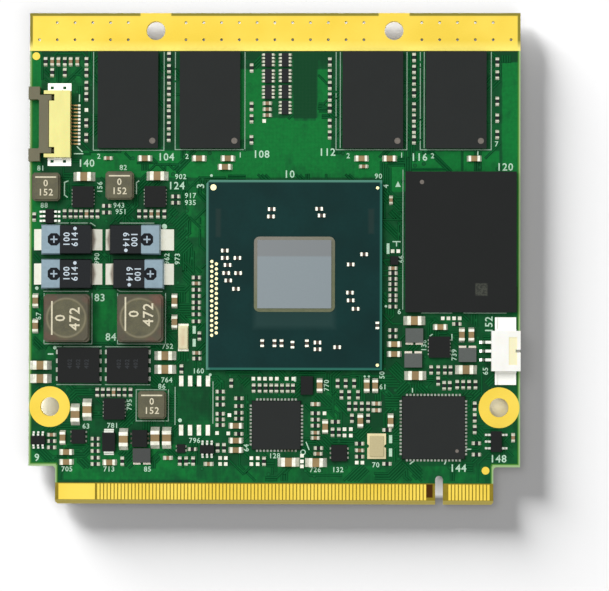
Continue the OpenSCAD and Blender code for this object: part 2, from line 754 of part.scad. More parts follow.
module choke_outline(w, l, cut) {
    polygon([
        [-w / 2 + cut, -l / 2], [w / 2 - cut, -l / 2], [w / 2, -l / 2 + cut], [w / 2, l / 2 - cut],
        [w / 2 - cut, l / 2], [-w / 2 + cut, l / 2], [-w / 2, l / 2 - cut], [-w / 2, -l / 2 + cut]
    ]);
}

module large_inductor(i) {
    color("#6E6650") place_each([large_choke_places[i]]) choke_body(choke_w, choke_l, choke_h);
}

module small_inductors() {
    color("#6E6650") place_each(small_choke_places) choke_body(small_choke_w, small_choke_w, small_choke_h);
}

module choke_terminals(w, l) {
    foot = w * 0.25;
    for (s = [-1, 1])
        translate([s * (w / 2 - foot / 2) - foot / 2, -l * 0.4, 0]) cube([foot, l * 0.8, terminal_t]);
}

module inductor_terminals() {
    color("#D8DCD4") {
        place_each(large_choke_places) choke_terminals(choke_w, choke_l);
        place_each(small_choke_places) choke_terminals(small_choke_w, small_choke_w);
    }
}

// Power stages and regulators: flat moulded packages
stage_h = 1;
stage_lead_pitch = 1.27;
stage_lead = [0.3, 0.65, 0.25];
module power_stage(i) {
    color("#26282A") place_each([stage_places[i]])
        translate([-stage_l / 2, -stage_w / 2, 0]) cube([stage_l, stage_w, stage_h]);
}

regulator_w = 3;
regulator_h = 0.85;
regulator_lead_pitch = 0.5;
regulator_lead = [0.12, 0.25, 0.2];
module power_stage_leads() {
    color("#E6E9E0") {
        place_each(stage_places)
            for (s = [0, 180], y = spaced(4, stage_lead_pitch)) rotate(s)
                translate([stage_l / 2, y - stage_lead[1] / 2, 0]) cube(stage_lead);
        place_each(concat(regulator_places, [right_regulator_at]))
            for (s = [0, 180], y = spaced(5, regulator_lead_pitch)) rotate(s)
                translate([regulator_w / 2, y - regulator_lead[1] / 2, 0]) cube(regulator_lead);
    }
}

module regulators() {
    color("#26282A") place_each(concat(regulator_places, [right_regulator_at]))
        translate([-regulator_w / 2, -regulator_w / 2, 0]) cube([regulator_w, regulator_w, regulator_h]);
}

chip_choke = [2.5, 2, 1];
chip_choke_foot = [1.05, 0.3, 0.2];
chip_choke_foot_span = 1.4;
module chip_inductors() {
    color("#6B6A6B")
        for (p = chip_choke_places) place_each([[p[0], p[1]]])
            translate([-chip_choke[0] / 2, -chip_choke[1] / 2, 0]) cube(chip_choke);
}

module chip_inductor_terminals() {
    color("#D8DCD4")
        for (p = chip_choke_places, s = [-1, 1]) place_each([[p[0], p[1]]])
            translate([s * chip_choke_foot_span / 2, p[2] * (chip_choke[1] + chip_choke_foot[1]) / 2, 0])
                translate([-chip_choke_foot[0] / 2, -chip_choke_foot[1] / 2, 0]) cube(chip_choke_foot);
}

// Flat-cable socket. X runs inwards from the board's left edge, Y along the socket.
socket_y = 19.05;
socket_row_l = socket_ways * socket_pitch;
socket_mouth_l = socket_row_l + 0.2;
socket_body_l = socket_row_l + 0.6;
socket_front = 2.95;
socket_back = 5.95;
socket_wing_out = 4.75;
socket_wing_extra = socket_wing_out - 3.3;
socket_l = socket_body_l + 2 * socket_wing_extra;
slot_z = 0.55;
slot_depth = 2.1;
channel_w = 0.95;
channel_depth = 0.75;
latch_depth = lock_travel + 0.3;
contact_t = 0.2;
contact_clearance = 0.02;
contact_foot = 0.95;
contact_land = [0.35, 0.3, copper_t];
anchor_l = 1.15;
anchor_hole = [0.45, 0.4];
lock_clearance = 0.1;
lock_h = 1.7;
module socket_frame() {
    translate([-board_w / 2, at([-30, socket_y])[1], top_z]) children();
}

// A contact, cut to its side profile: foot, riser through the back wall, and the beam over the cable
module socket_contact(thick) {
    beam_z = slot_z + slot_h - 0.2;
    translate([0, thick / 2, 0]) rotate([90, 0, 0]) linear_extrude(height = thick)
        polygon([
            [socket_back - 0.45, 0.02], [socket_back + contact_foot, 0],
            [socket_back + contact_foot, 0.15],
            [socket_back + 0.35, 0.15], [socket_back + 0.15, 0.4], [socket_back + 0.15, beam_z + 0.35],
            [socket_front + slot_depth, beam_z + 0.35], [socket_front + 0.9, beam_z + 0.2],
            [socket_front + 0.7, beam_z - 0.05], [socket_front + 0.9, beam_z + 0.05],
            [socket_front + slot_depth, beam_z + 0.12], [socket_back - 0.45, beam_z + 0.12]
        ]);
}

module socket_housing() {
    wing_in = socket_body_l / 2 + channel_w;
    color("#FAF3A6") socket_frame()
        difference() {
            union() {
                translate([socket_front, -socket_l / 2, 0])
                    cube([socket_back - socket_front, socket_l, socket_h]);
                for (s = [-1, 1])
                    translate([socket_front - 0.75, s > 0 ? wing_in : -socket_l / 2, 0])
                        cube([0.76, socket_l / 2 - wing_in, socket_h]);
            }
            // Slot for the cable, open at the front
            translate([socket_front - 1, -socket_mouth_l / 2, slot_z])
                cube([slot_depth + 1, socket_mouth_l, slot_h]);
            // Channels that the lock bar's arms slide in, and the deeper ones of their latches
            for (s = [0, 1]) mirror([0, s, 0]) {
                translate([socket_front - 1, socket_body_l / 2, -1])
                    cube([channel_depth + 1, channel_w, socket_h + 2]);
                translate([socket_front - 1, socket_body_l / 2 + 0.15, 0.2])
                    cube([latch_depth + 1, channel_w - 0.3, 0.9]);
            }
            // A slit for each contact
            for (y = spaced(socket_ways, socket_pitch))
                translate([0, y, 0]) {
                    slit = contact_t + 2 * contact_clearance;
                    translate([socket_front + 0.6, -slit / 2, slot_z + slot_h - eps])
                        cube([socket_back - socket_front, slit, 0.4]);
                    translate([socket_back - 0.5, -slit / 2, -1]) cube([1, slit, slot_z + slot_h + 1]);
                    translate([socket_front + slot_depth - eps, -slit / 2, slot_z + slot_h - 0.1])
                        cube([socket_back - socket_front - slot_depth + 1, slit, 0.2]);
                }
        }
}

module socket_contacts() {
    color("#B9A26A") socket_frame()
        for (y = spaced(socket_ways, socket_pitch)) translate([0, y, 0]) socket_contact(contact_t);
}

// The bar with its tongue in the slot, two arms and a finger ear at each end
module socket_lock_bar() {
    arm_in = socket_body_l / 2 + lock_clearance;
    arm_w = channel_w - 2 * lock_clearance;
    ear_w = 1.8;
    ear_l = 1.6;
    bar_front = 1.5;
    color("#8A7A62") socket_frame() translate([0, 0, lock_clearance]) {
        translate([bar_front, -arm_in, 0])
            cube([socket_front - bar_front - lock_clearance, 2 * arm_in, lock_h]);
        translate([socket_front - 0.2, -socket_mouth_l / 2 + lock_clearance, slot_z - lock_clearance + 0.05])
            cube([slot_depth - 0.1, socket_mouth_l - 2 * lock_clearance, 0.25]);
        for (s = [0, 1]) mirror([0, s, 0]) {
            translate([0, arm_in + 0.1, 0]) cube([ear_l, ear_w, lock_h]);
            translate([ear_l - 0.2, arm_in - eps, 0]) cube([1.85, arm_w, lock_h]);
            translate([ear_l + 1.4, arm_in + 0.15, 0.2])
                cube([latch_depth - 0.2, arm_w - 0.3, 0.6]);
        }
    }
}

module socket_anchor_tabs() {
    socket_frame()
        for (s = [0, 1]) mirror([0, s, 0])
            translate([2.6, socket_l / 2, 0]) {
                difference() {
                    cube([socket_back - 2.6, anchor_l, 0.15]);
                    // A solder hole at each side of the riser
                    for (x = [0.62, 2.4])
                        translate([x - anchor_hole[0] / 2, 0.3, -1])
                            cube([anchor_hole[0], anchor_hole[1], 2]);
                }
                translate([0.9, 0, 0]) cube([1.2, 0.2, 0.9]);
            }
}

// Wire header. X runs inwards from the board's right edge, Y along the header.
header_y = -13.15;
header_inset = 0.05;
header_l = header_pitch * (header_ways - 1) + 3.2;
header_wall = 0.55;
header_floor = 0.9;
header_nail_l = 1.95;
header_recess = [1.15, 3.9, 0.15];
pin_w = 0.4;
pin_z = 1.45;
module header_frame() {
    translate([board_w / 2, header_y, top_z]) mirror([1, 0, 0]) children();
}

module header_housing() {
    color("#FEFDF0") header_frame()
        difference() {
            translate([header_inset, -header_l / 2, 0]) cube([header_depth, header_l, header_h]);
            translate([header_inset - 1, -header_l / 2 + header_wall, header_wall])
                cube([
                    header_depth - header_floor + 1,
                    header_l - 2 * header_wall,
                    header_h - 2 * header_wall
                ]);
            // Shallow recess in the roof, and the slit in it for the plug's catch
            translate([0.55, -header_recess[1] / 2, header_h - header_recess[2]])
                cube([header_recess[0], header_recess[1], 1]);
            translate([header_inset - 1, -0.2, header_h - header_wall - 1])
                cube([1.7, 0.4, header_wall + 2]);
            for (y = spaced(header_ways, header_pitch))
                translate([header_depth - header_floor - 1, y - pin_w / 2, pin_z])
                    cube([header_floor + 2, pin_w, pin_w]);
        }
}

module header_pins() {
    back = header_inset + header_depth;
    reach = 1.65;
    color("#D8DCD4") header_frame()
        for (y = spaced(header_ways, header_pitch))
            translate([0, y + pin_w / 2, 0]) rotate([90, 0, 0]) linear_extrude(height = pin_w)
                polygon([
                    [1, pin_z], [back + 0.6, pin_z], [back + reach - 0.6, 0.05], [back + reach - 0.5, 0],
                    [back + reach, 0], [back + reach, 0.25], [back + reach - 0.35, 0.3],
                    [back + 0.85, pin_z + pin_w], [1, pin_z + pin_w]
                ]);
}

module header_anchor_tabs() {
    header_frame()
        for (s = [0, 1]) mirror([0, s, 0])
            translate([0.6, header_l / 2, 0]) {
                cube([3, header_nail_l, 0.2]);
                cube([3, 0.25, 1.6]);
                for (x = [0, 2.7]) translate([x, 0, 0]) cube([0.3, header_nail_l, 0.6]);
            }
}

module connector_anchor_tabs() {
    color("#F4F8EC") {
        socket_anchor_tabs();
        header_anchor_tabs();
    }
}

// Crystals
crystal_at = [14.62, -26.7];
crystal_base_size = [2.65, 3.6, 0.45];
crystal_can_size = [1.95, 2.9, 0.3];
crystal_notch_r = 0.25;
watch_crystal_at = [-12.95, -11.3];
watch_base_size = [1.4, 3.3, 0.55];
watch_lid_size = [1.15, 3, 0.3];
watch_land = [1.5, 0.3, copper_t];
module block(size) {
    translate([-size[0] / 2, -size[1] / 2, 0]) cube(size);
}

module crystal_base() {
    color("#C9B48A") place_each([crystal_at])
        difference() {
            block(crystal_base_size);
            for (s = [-1, 1])
                translate([s * crystal_base_size[0] / 2, 0, -1]) cylinder(r = crystal_notch_r, h = 2);
        }
}

module crystal_can() {
    color("#CDB892") place_each([crystal_at]) translate([0, 0, crystal_base_size[2]]) block(crystal_can_size);
}

module watch_crystal() {
    color("#D9C79A") place_each([watch_crystal_at]) {
        block(watch_base_size);
        translate([0, 0, watch_base_size[2]]) block(watch_lid_size);
    }
}

// Small packages with gull-wing leads
gull_wing_min = 0.3;
module lead_side(ic, places, width) {
    t = 0.14;
    reach = ic[4];
    rise = ic[3] * 0.45;
    for (o = places)
        translate([ic[1] / 2, o + width / 2, 0]) rotate([90, 0, 0]) linear_extrude(height = width)
            polygon(reach < gull_wing_min
                ? [[0, 0], [reach, 0], [reach, chip_pad_lip], [0, 0.2]]
                : [
                    [0, rise], [reach * 0.35, rise], [reach * 0.5, 0], [reach, 0],
                    [reach, t], [reach * 0.62, t], [reach * 0.45, rise + t], [0, rise + t]
                ]);
}

package_seat = 0.05;
package_draft = 0.06;
module small_package_body(ic) {
    translate([0, ic[2] / 2, 0]) rotate([90, 0, 0]) linear_extrude(height = ic[2])
        moulded_profile(ic[1], package_seat, ic[3] * 0.5, ic[3], package_draft);
}

function lead_w(ic) = len(ic[5]) == 1 ? diode_lead_w : small_lead_w;

module small_packages() {
    color("#2A2A2C") {
        for (ic = small_ics) place_each([ic[0]]) small_package_body(ic);
        for (ic = turned_ics) place_each([ic[0]], upright = true) small_package_body(ic);
    }
}

module small_package_leads() {
    color("#E6E9E0") {
        for (ic = small_ics, s = [0, 1]) place_each([ic[0]])
            rotate(s * 180) lead_side(ic, ic[5 + s], lead_w(ic));
        for (ic = turned_ics, s = [0, 1]) place_each([ic[0]], upright = true)
            rotate(s * 180) lead_side(ic, ic[5 + s], lead_w(ic));
    }
}

// Chip resistors and capacitors
module chip_resistors() {
    color("#1E2022") {
        place_each(resistors_upright, upright = true) chip_body(chip_0402_resistor);
        place_each(resistors_flat) chip_body(chip_0402_resistor);
    }
}

module chip_capacitors() {
    color("#8E7B52") {
        place_each(capacitors_upright, upright = true) chip_body(chip_0402_capacitor);
        place_each(capacitors_flat) chip_body(chip_0402_capacitor);
        place_each(wide_flat) chip_body(chip_wide);
    }
}

module large_chip_capacitors() {
    color("#8E7B52") {
        place_each(medium_upright, upright = true) chip_body(chip_0603);
        place_each(medium_flat) chip_body(chip_0603);
        place_each(large_upright, upright = true) chip_body(chip_0805);
        place_each(large_flat) chip_body(chip_0805);
    }
}

module chip_end_caps() {
    color("#F4F8EC") {
        place_each(resistors_upright, upright = true) chip_ends(chip_0402_resistor);
        place_each(resistors_flat) chip_ends(chip_0402_resistor);
        place_each(capacitors_upright, upright = true) chip_ends(chip_0402_capacitor);
        place_each(capacitors_flat) chip_ends(chip_0402_capacitor);
        place_each(wide_flat) chip_ends(chip_wide);
        place_each(medium_upright, upright = true) chip_ends(chip_0603);
        place_each(medium_flat) chip_ends(chip_0603);
        place_each(large_upright, upright = true) chip_ends(chip_0805);
        place_each(large_flat) chip_ends(chip_0805);
        place_each(array_places) array_ends();
    }
}

module resistor_arrays() {
    color("#1E2022") place_each(array_places) chip_body(array_chip);
}

module array_ends() {
    slice = [array_chip[0], array_cap_w, array_chip[2], array_chip[3], array_chip[4]];
    for (y = spaced(array_ways, array_pitch)) translate([0, y, 0]) chip_ends(slice);
}

// Underside: bulk capacitors that the module lies on, and small ones under the processor
bulk_places = [
    [-27, -15], [-27, 5], [24, -13], [25, 8], [-9, 9], [13, 9], [-9, -14], [12, -14]
];
under_processor = grid([-4.65, -1.65, 1.35, 4.35, 7.35, 10.35], [-8.4, -5.4, -2.4, 0.6, 3.6]);
module under_each(places) {
    for (p = places) translate([at(p)[0], at(p)[1], board_z]) mirror([0, 0, 1]) children();
}

module underside_bulk_capacitors() {
    inner = chip_0603[0] - 2 * chip_0603[3];
    color("#8E7B52") under_each(bulk_places)
        translate([-inner / 2, -chip_0603[1] / 2, 0]) cube([inner, chip_0603[1], chip_0603[2]]);
}

module underside_bulk_caps() {
    color("#F4F8EC") under_each(bulk_places) chip_ends(chip_0603);
}

module underside_small_capacitors() {
    color("#8E7B52") under_each(under_processor) chip_body(chip_0402_capacitor);
}

module underside_small_caps() {
    color("#F4F8EC") under_each(under_processor) chip_ends(chip_0402_capacitor);
}

circuit_board();
ground_strip(top_z);  // ground_strip_top
ground_strip(board_z - copper_t);  // ground_strip_bottom
edge_contacts(top_z);  // edge_contacts_top
edge_contacts(board_z - copper_t);  // edge_contacts_bottom
plated_holes();
fiducials();
bare_pads();
processor_substrate();
processor_die();
processor_underfill();
processor_balls();
processor_capacitors();
processor_capacitor_caps();
processor_test_lands();
memory_chip(0);  // memory_chip_1
memory_chip(1);  // memory_chip_2
memory_chip(2);  // memory_chip_3
memory_chip(3);  // memory_chip_4
flash_chip();
chip_carriers();
chip_balls();
large_controller();
small_controller();
controller_leads();
polymer_capacitor(0);  // polymer_capacitor_1
polymer_capacitor(1);  // polymer_capacitor_2
polymer_capacitor(2);  // polymer_capacitor_3
polymer_capacitor(3);  // polymer_capacitor_4
polymer_terminals();
large_inductor(0);  // large_inductor_1
large_inductor(1);  // large_inductor_2
small_inductors();
inductor_terminals();
power_stage(0);  // power_stage_1
power_stage(1);  // power_stage_2
power_stage_leads();
regulators();
chip_inductors();
chip_inductor_terminals();
socket_housing();
socket_lock_bar();
socket_contacts();
header_housing();
header_pins();
connector_anchor_tabs();
crystal_base();
crystal_can();
watch_crystal();
small_packages();
small_package_leads();
chip_resistors();
chip_capacitors();
large_chip_capacitors();
chip_end_caps();
resistor_arrays();
underside_bulk_capacitors();
underside_bulk_caps();
underside_small_capacitors();
underside_small_caps();
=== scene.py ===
"""Looks of the system on module: finishes, tracks, vias, printing and the studio around it."""

import math
import random

import bmesh
import bpy
from mathutils import Euler, Matrix, Vector
from mathutils.bvhtree import BVHTree


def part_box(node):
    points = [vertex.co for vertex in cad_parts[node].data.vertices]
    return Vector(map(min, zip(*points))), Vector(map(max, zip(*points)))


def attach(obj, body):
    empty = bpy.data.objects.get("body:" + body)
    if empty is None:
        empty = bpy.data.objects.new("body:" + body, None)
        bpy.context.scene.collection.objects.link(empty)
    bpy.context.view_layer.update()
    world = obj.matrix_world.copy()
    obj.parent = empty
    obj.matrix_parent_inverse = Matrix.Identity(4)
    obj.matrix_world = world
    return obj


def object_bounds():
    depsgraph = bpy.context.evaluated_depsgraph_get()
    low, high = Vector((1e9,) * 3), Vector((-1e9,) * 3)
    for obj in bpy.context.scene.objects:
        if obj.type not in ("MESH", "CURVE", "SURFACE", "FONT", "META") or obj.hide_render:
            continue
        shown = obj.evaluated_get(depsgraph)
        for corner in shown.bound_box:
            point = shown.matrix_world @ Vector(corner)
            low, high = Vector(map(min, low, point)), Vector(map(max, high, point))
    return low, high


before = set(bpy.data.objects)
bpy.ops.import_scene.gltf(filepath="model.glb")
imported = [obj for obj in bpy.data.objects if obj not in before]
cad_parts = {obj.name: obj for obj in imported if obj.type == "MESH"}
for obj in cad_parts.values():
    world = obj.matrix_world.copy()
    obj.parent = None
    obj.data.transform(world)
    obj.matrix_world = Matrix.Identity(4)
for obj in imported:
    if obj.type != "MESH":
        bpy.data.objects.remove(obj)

bl_info = {
    "name": "System on module",
    "version": (1, 0, 0),
    "blender": (4, 5, 0),
    "location": "3D View > Sidebar > Module",
    "description": "Finishes, tracks, vias and printing of a small processor board",
    "category": "Object",
}

CAD_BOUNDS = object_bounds()
MM = 0.001
BODY = "module"


def box_of(node):
    """The two corners of a CAD node's box, in millimetres."""
    return [[v / MM for v in corner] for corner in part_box(node)]


def centre_of(node):
    """The centre of a CAD node's box seen from above, in millimetres."""
    low, high = box_of(node)
    return (low[0] + high[0]) / 2, (low[1] + high[1]) / 2


(_, _, BOTTOM_Z), (BOARD_X, BOARD_Y, TOP_Z) = box_of("circuit_board")
CHOKE_Z, SMALL_CHOKE_Z, POLYMER_Z, STAGE_Z, MEMORY_Z = [box_of(node)[1][2] for node in (
    "large_inductor_1", "small_inductors", "polymer_capacitor_1", "power_stage_1", "memory_chip_1")]
# Where the mask ends above the edge contacts, half the tongue's width, and the y of the shoulders
MASK_LOW_Y = -BOARD_Y + 3.0
TONGUE_X = 31.2
SHOULDER_Y = -BOARD_Y + 5.35
# Centres of the small inductors, and each polymer capacitor's centre y and the side of its band
SMALL_CHOKES = [(-32.5, 10.1), (-22.0, 10.3), (-17.3, -20.9)]
POLYMERS = [(f"polymer_capacitor_{i + 1}", y, side) for i, (y, side) in enumerate(
    ((2.6, -1), (2.6, 1), (-2.3, -1), (-2.3, 1)))]


# Colours and nodes

# Short names of the nodes used most, each with its type and settings
KINDS = {
    "sum": ("ShaderNodeMath", {"operation": "ADD"}),
    "difference": ("ShaderNodeMath", {"operation": "SUBTRACT"}),
    "product": ("ShaderNodeMath", {"operation": "MULTIPLY"}),
    "larger": ("ShaderNodeMath", {"operation": "MAXIMUM"}),
    "smaller": ("ShaderNodeMath", {"operation": "MINIMUM"}),
    "size": ("ShaderNodeMath", {"operation": "ABSOLUTE"}),
    "fraction": ("ShaderNodeMath", {"operation": "FRACT"}),
    "sine": ("ShaderNodeMath", {"operation": "SINE"}),
    "range": ("ShaderNodeMapRange", {}),
    "mix": ("ShaderNodeMix", {"data_type": "RGBA"}),
    "axis": ("ShaderNodeSeparateXYZ", {}),
    "scaled": ("ShaderNodeVectorMath", {"operation": "MULTIPLY"}),
    "moved": ("ShaderNodeVectorMath", {"operation": "SUBTRACT"}),
    "unsigned": ("ShaderNodeVectorMath", {"operation": "ABSOLUTE"}),
    "distance": ("ShaderNodeVectorMath", {"operation": "DISTANCE"}),
}


def linear(code):
    """An sRGB hex code as linear values."""
    parts = [int(code[i:i + 2], 16) / 255 for i in (1, 3, 5)]
    values = [p / 12.92 if p <= 0.04045 else ((p + 0.055) / 1.055) ** 2.4 for p in parts]
    return (*values, 1.0)


def tone(colour, gain):
    """A colour, given as a code or as linear values, made darker or lighter."""
    colour = linear(colour) if isinstance(colour, str) else colour
    return (*[min(1.0, value * gain) for value in colour[:3]], 1.0)


def add(tree, kind, *values, out=None, named=None, **settings):
    """Adds a node, fills its open inputs in order or by name, and returns its first output or a named one."""
    kind, preset = KINDS.get(kind, (kind, {}))
    node = tree.nodes.new(kind)
    for name, value in {**preset, **settings}.items():
        setattr(node, name, value)
    pairs = list(zip([socket for socket in node.inputs if socket.enabled], values))
    pairs += [(node.inputs[name], value) for name, value in (named or {}).items()]
    for socket, value in pairs:
        if isinstance(value, bpy.types.NodeSocket):
            tree.links.new(value, socket)
        else:
            socket.default_value = linear(value) if isinstance(value, str) else value
    for socket in node.outputs:
        if socket.enabled and out in (None, socket.name):
            return socket


def place(tree):
    """The point on the piece, in millimetres."""
    return add(tree, "scaled", add(tree, "ShaderNodeTexCoord", out="Object"), (1 / MM,) * 3)


def start(name, **values):
    """A new material, its tree and the point on the piece in millimetres. Values go to the shader."""
    material = bpy.data.materials.new(name)
    material.use_nodes = True
    tree = material.node_tree
    shader = tree.nodes["Principled BSDF"]
    for key, value in values.items():
        shader.inputs[key.replace("_", " ")].default_value = value
    return material, tree, place(tree)


def finish(material, color, bump, depth, strength=0.5, **links):
    """Gives the shader its colour, a relief of depth millimetres and other linked inputs."""
    tree = material.node_tree
    shader = tree.nodes["Principled BSDF"]
    inputs = {"Height": bump, "Distance": depth * MM, "Strength": strength}
    links = {"Base_Color": color, "Normal": add(tree, "ShaderNodeBump", named=inputs), **links}
    for key, socket in links.items():
        tree.links.new(socket, shader.inputs[key.replace("_", " ")])
    return material


def grain(tree, spot, size, detail=2.0, stretch=(1, 1, 1)):
    """A cloudy pattern whose lumps are about size millimetres across, stretched along the axes."""
    inputs = {"Vector": spot, "Location": (7.3, 3.1, 5.7), "Scale": [s / size for s in stretch]}
    mapped = add(tree, "ShaderNodeMapping", named=inputs)
    inputs = {"Vector": mapped, "Scale": 1.0, "Detail": detail, "Roughness": 0.55}
    return add(tree, "ShaderNodeTexNoise", named=inputs)


def field(tree, spot, low, high, soft=0.25):
    """One inside the rectangle from low to high, and nought outside it, with a soft edge."""
    centre = [(a + b) / 2 for a, b in zip(low[:2], high)]
    half = [(b - a) / 2 for a, b in zip(low[:2], high)]
    size = add(tree, "unsigned", add(tree, "moved", spot, (*centre, 0)))
    past = add(tree, "moved", size, (*half, 0))
    edge = add(tree, "larger", add(tree, "axis", past, out="X"), add(tree, "axis", past, out="Y"))
    return add(tree, "range", edge, -soft / 2, soft / 2, 1.0, 0.0)


def blend(tree, color, other, value, low, high, share=1.0):
    """The colour, turned towards another as a value goes from low to high, at most by a share."""
    return add(tree, "mix", add(tree, "range", value, low, high, 0.0, share), color, other)


def window(tree, value, low, low_full, high, high_full):
    """One where a value lies between two soft edges: from low to low_full, and from high_full to high."""
    return add(tree, "product", add(tree, "range", value, low, low_full),
               add(tree, "range", value, high, high_full))


def mottle(tree, colour, spread, pattern, low=0.0, high=1.0):
    """The colour, from darker to lighter by spread as a pattern goes from low to high."""
    return blend(tree, tone(colour, 1 - spread), tone(colour, 1 + spread), pattern, low, high)


def wave(tree, value, pitch):
    """A soft wave along one coordinate, with crests pitch millimetres apart."""
    return add(tree, "sine", add(tree, "product", value, 2 * math.pi / pitch))


# Materials of the board

# Where the copper under the mask is a solid area it shows brighter, and bare laminate shows darker:
# [low corner, high corner, gain]
COPPER_AREAS = [
    ((-35, 1.5), (-33.4, 29.5), 0.8), ((-33.5, 25), (-27.6, 29.4), 0.35), ((32.4, -4), (35, 28), 0.75),
    ((-27.5, 11.5), (32, 15.3), 0.75), ((-15, 15), (-3.7, 11.4), 0.6), ((-3, 15), (8, 20), 0.9),
    ((-5.2, 17), (-1.4, 27), 0.8), ((5.9, 19), (7.6, 27), 0.7), ((15.7, 9.5), (19, 13), 0.7),
    ((-25.9, -12), (-22.4, -4.5), 0.4), ((-35, -14.5), (-31.2, -5), 0.45), ((-30, -31.6), (-11, -26.5), 0.5),
    ((-34.8, -29.4), (-31, -27.4), 0.3), ((-12.6, 3), (-10, 11), 0.4), ((-12.6, -10), (-10, 0), 0.2),
    ((-11, -32), (30, -29.5), 0.3), ((7.5, -23), (9.2, -17), 0.35), ((33.4, -22), (35, -29.6), 0.5),
    ((2.7, 19.6), (6.1, 29.4), -0.6), ((-35, 28.3), (35, 29.7), -0.45), ((-28.4, 15.5), (-25.8, 24), -0.4),
    ((33, 28), (34.5, 29.5), -0.5), ((-16.4, 15.5), (-14.2, 29.5), -0.35), ((19, 15.5), (21, 29.5), -0.35),
    ((-24, -3.5), (-13, 6), -0.2), ((15.6, -12), (18.2, 1), -0.4), ((-13.6, -23.2), (-9, -18.8), -0.15),
    ((13, -24), (17.8, -15), -0.35), ((-34, -21), (-25, -18.5), -0.3), ((28, -21), (33, -15), -0.3),
]
# A corner beside the key notch where the laminate is bare, and the spacing of the cloth's threads
BARE_CORNER = ((21.35, -34.0), (22.6, -32.1))
CLOTH_PITCH = 0.5


def copper_share(tree, spot):
    """How much copper shows through the mask: cloudy, faintly streaked, and by areas."""
    share = add(tree, "range", grain(tree, spot, 5.0, 3.0), 0.3, 0.7, 0.0, 0.6)
    streaks = grain(tree, spot, 1.0, 3.0, (1, 0.5, 1))
    share = add(tree, "sum", share, add(tree, "range", streaks, 0.3, 0.7, -0.22, 0.22))
    for low, high, gain in COPPER_AREAS:
        share = add(tree, "sum", share, add(tree, "product", field(tree, spot, low, high), gain))
    return share


def past_outline(tree, x, y):
    """How far a point is past the board's sides and its shoulders, or if negative, inside them."""
    wide = add(tree, "size", x)
    past_tongue = add(tree, "smaller", add(tree, "difference", wide, TONGUE_X),
                      add(tree, "difference", SHOULDER_Y + 0.2, y))
    past_shoulder = add(tree, "smaller", add(tree, "difference", SHOULDER_Y, y),
                        add(tree, "difference", wide, TONGUE_X - 0.1))
    inner = add(tree, "difference", add(tree, "larger", past_tongue, past_shoulder), 0.1)
    return add(tree, "larger", add(tree, "difference", wide, BOARD_X), inner)


def solder_mask(colours):
    """Green epoxy solder mask over woven laminate: deep green, clear enough to show the copper below."""
    material, tree, spot = start("solder_mask", Roughness=0.38, Specular_IOR_Level=0.05)
    x, y, z = [add(tree, "axis", spot, out=axis) for axis in "XYZ"]
    share = copper_share(tree, spot)
    color = blend(tree, colours.mask_deep, colours.mask, share, 0.0, 0.45)
    color = blend(tree, color, colours.mask_bright, share, 0.45, 1.0)
    fine = grain(tree, spot, 0.5, 3.0)
    color = blend(tree, color, colours.mask_deep, fine, 0.35, 0.75, 0.3)
    # The mask thins towards the outline and stops short of the edge contacts, and the laminate shows there
    edge = past_outline(tree, x, y)
    color = blend(tree, color, "#4C8A2C", edge, -0.42, -0.3)
    color = blend(tree, color, "#9FBF85", edge, -0.26, -0.16)
    bare = add(tree, "range", y, MASK_LOW_Y + 0.05, MASK_LOW_Y - 0.05)
    color = add(tree, "mix", bare, color, add(tree, "mix", fine, "#80701C", "#9E8C30"))
    color = add(tree, "mix", field(tree, spot, *BARE_CORNER, 0.15), color, "#4A2C08")
    # The sides show the glass cloth in layers and the dark lines of the inner copper
    between = window(tree, z, BOTTOM_Z + 0.004, BOTTOM_Z + 0.008, TOP_Z - 0.004, TOP_Z - 0.008)
    layers = add(tree, "fraction", add(tree, "product", z, 6.0))
    side = blend(tree, add(tree, "mix", fine, "#B7BE7E", "#D6DDA6"), "#8C7A3A", layers, 0.84, 0.9)
    side = add(tree, "mix", add(tree, "product", bare, 0.8), side, "#A8923C")
    color = add(tree, "mix", between, color, side)
    # The threads of the glass cloth press lightly through the mask
    weave = add(tree, "sum", wave(tree, x, CLOTH_PITCH), wave(tree, y, CLOTH_PITCH))
    height = add(tree, "sum", add(tree, "product", weave, 0.25), fine)
    return finish(material, color, height, 0.012)


def masked_copper(name, colour):
    """The same mask where it runs over copper, which brightens it, or over the gap round the copper."""
    material, tree, spot = start(name, Roughness=0.36, Specular_IOR_Level=0.05)
    fine = grain(tree, spot, 0.4, 2.0)
    color = mottle(tree, colour, 0.15, grain(tree, spot, 5.0, 3.0), 0.3, 0.7)
    color = blend(tree, color, tone(colour, 0.85), fine, 0.4, 0.8, 0.3)
    return finish(material, color, fine, 0.008, 0.4)


# The strip's copper stops this far from the outline, but runs out to it nearer to a mounting hole than this
STRIP_MARGIN = 0.4
STRIP_HOLE_X = 17.0
STRIP_RUN_OUT = (2.1, 2.3)
STRIP_LOW_Y = BOARD_Y - 5.2


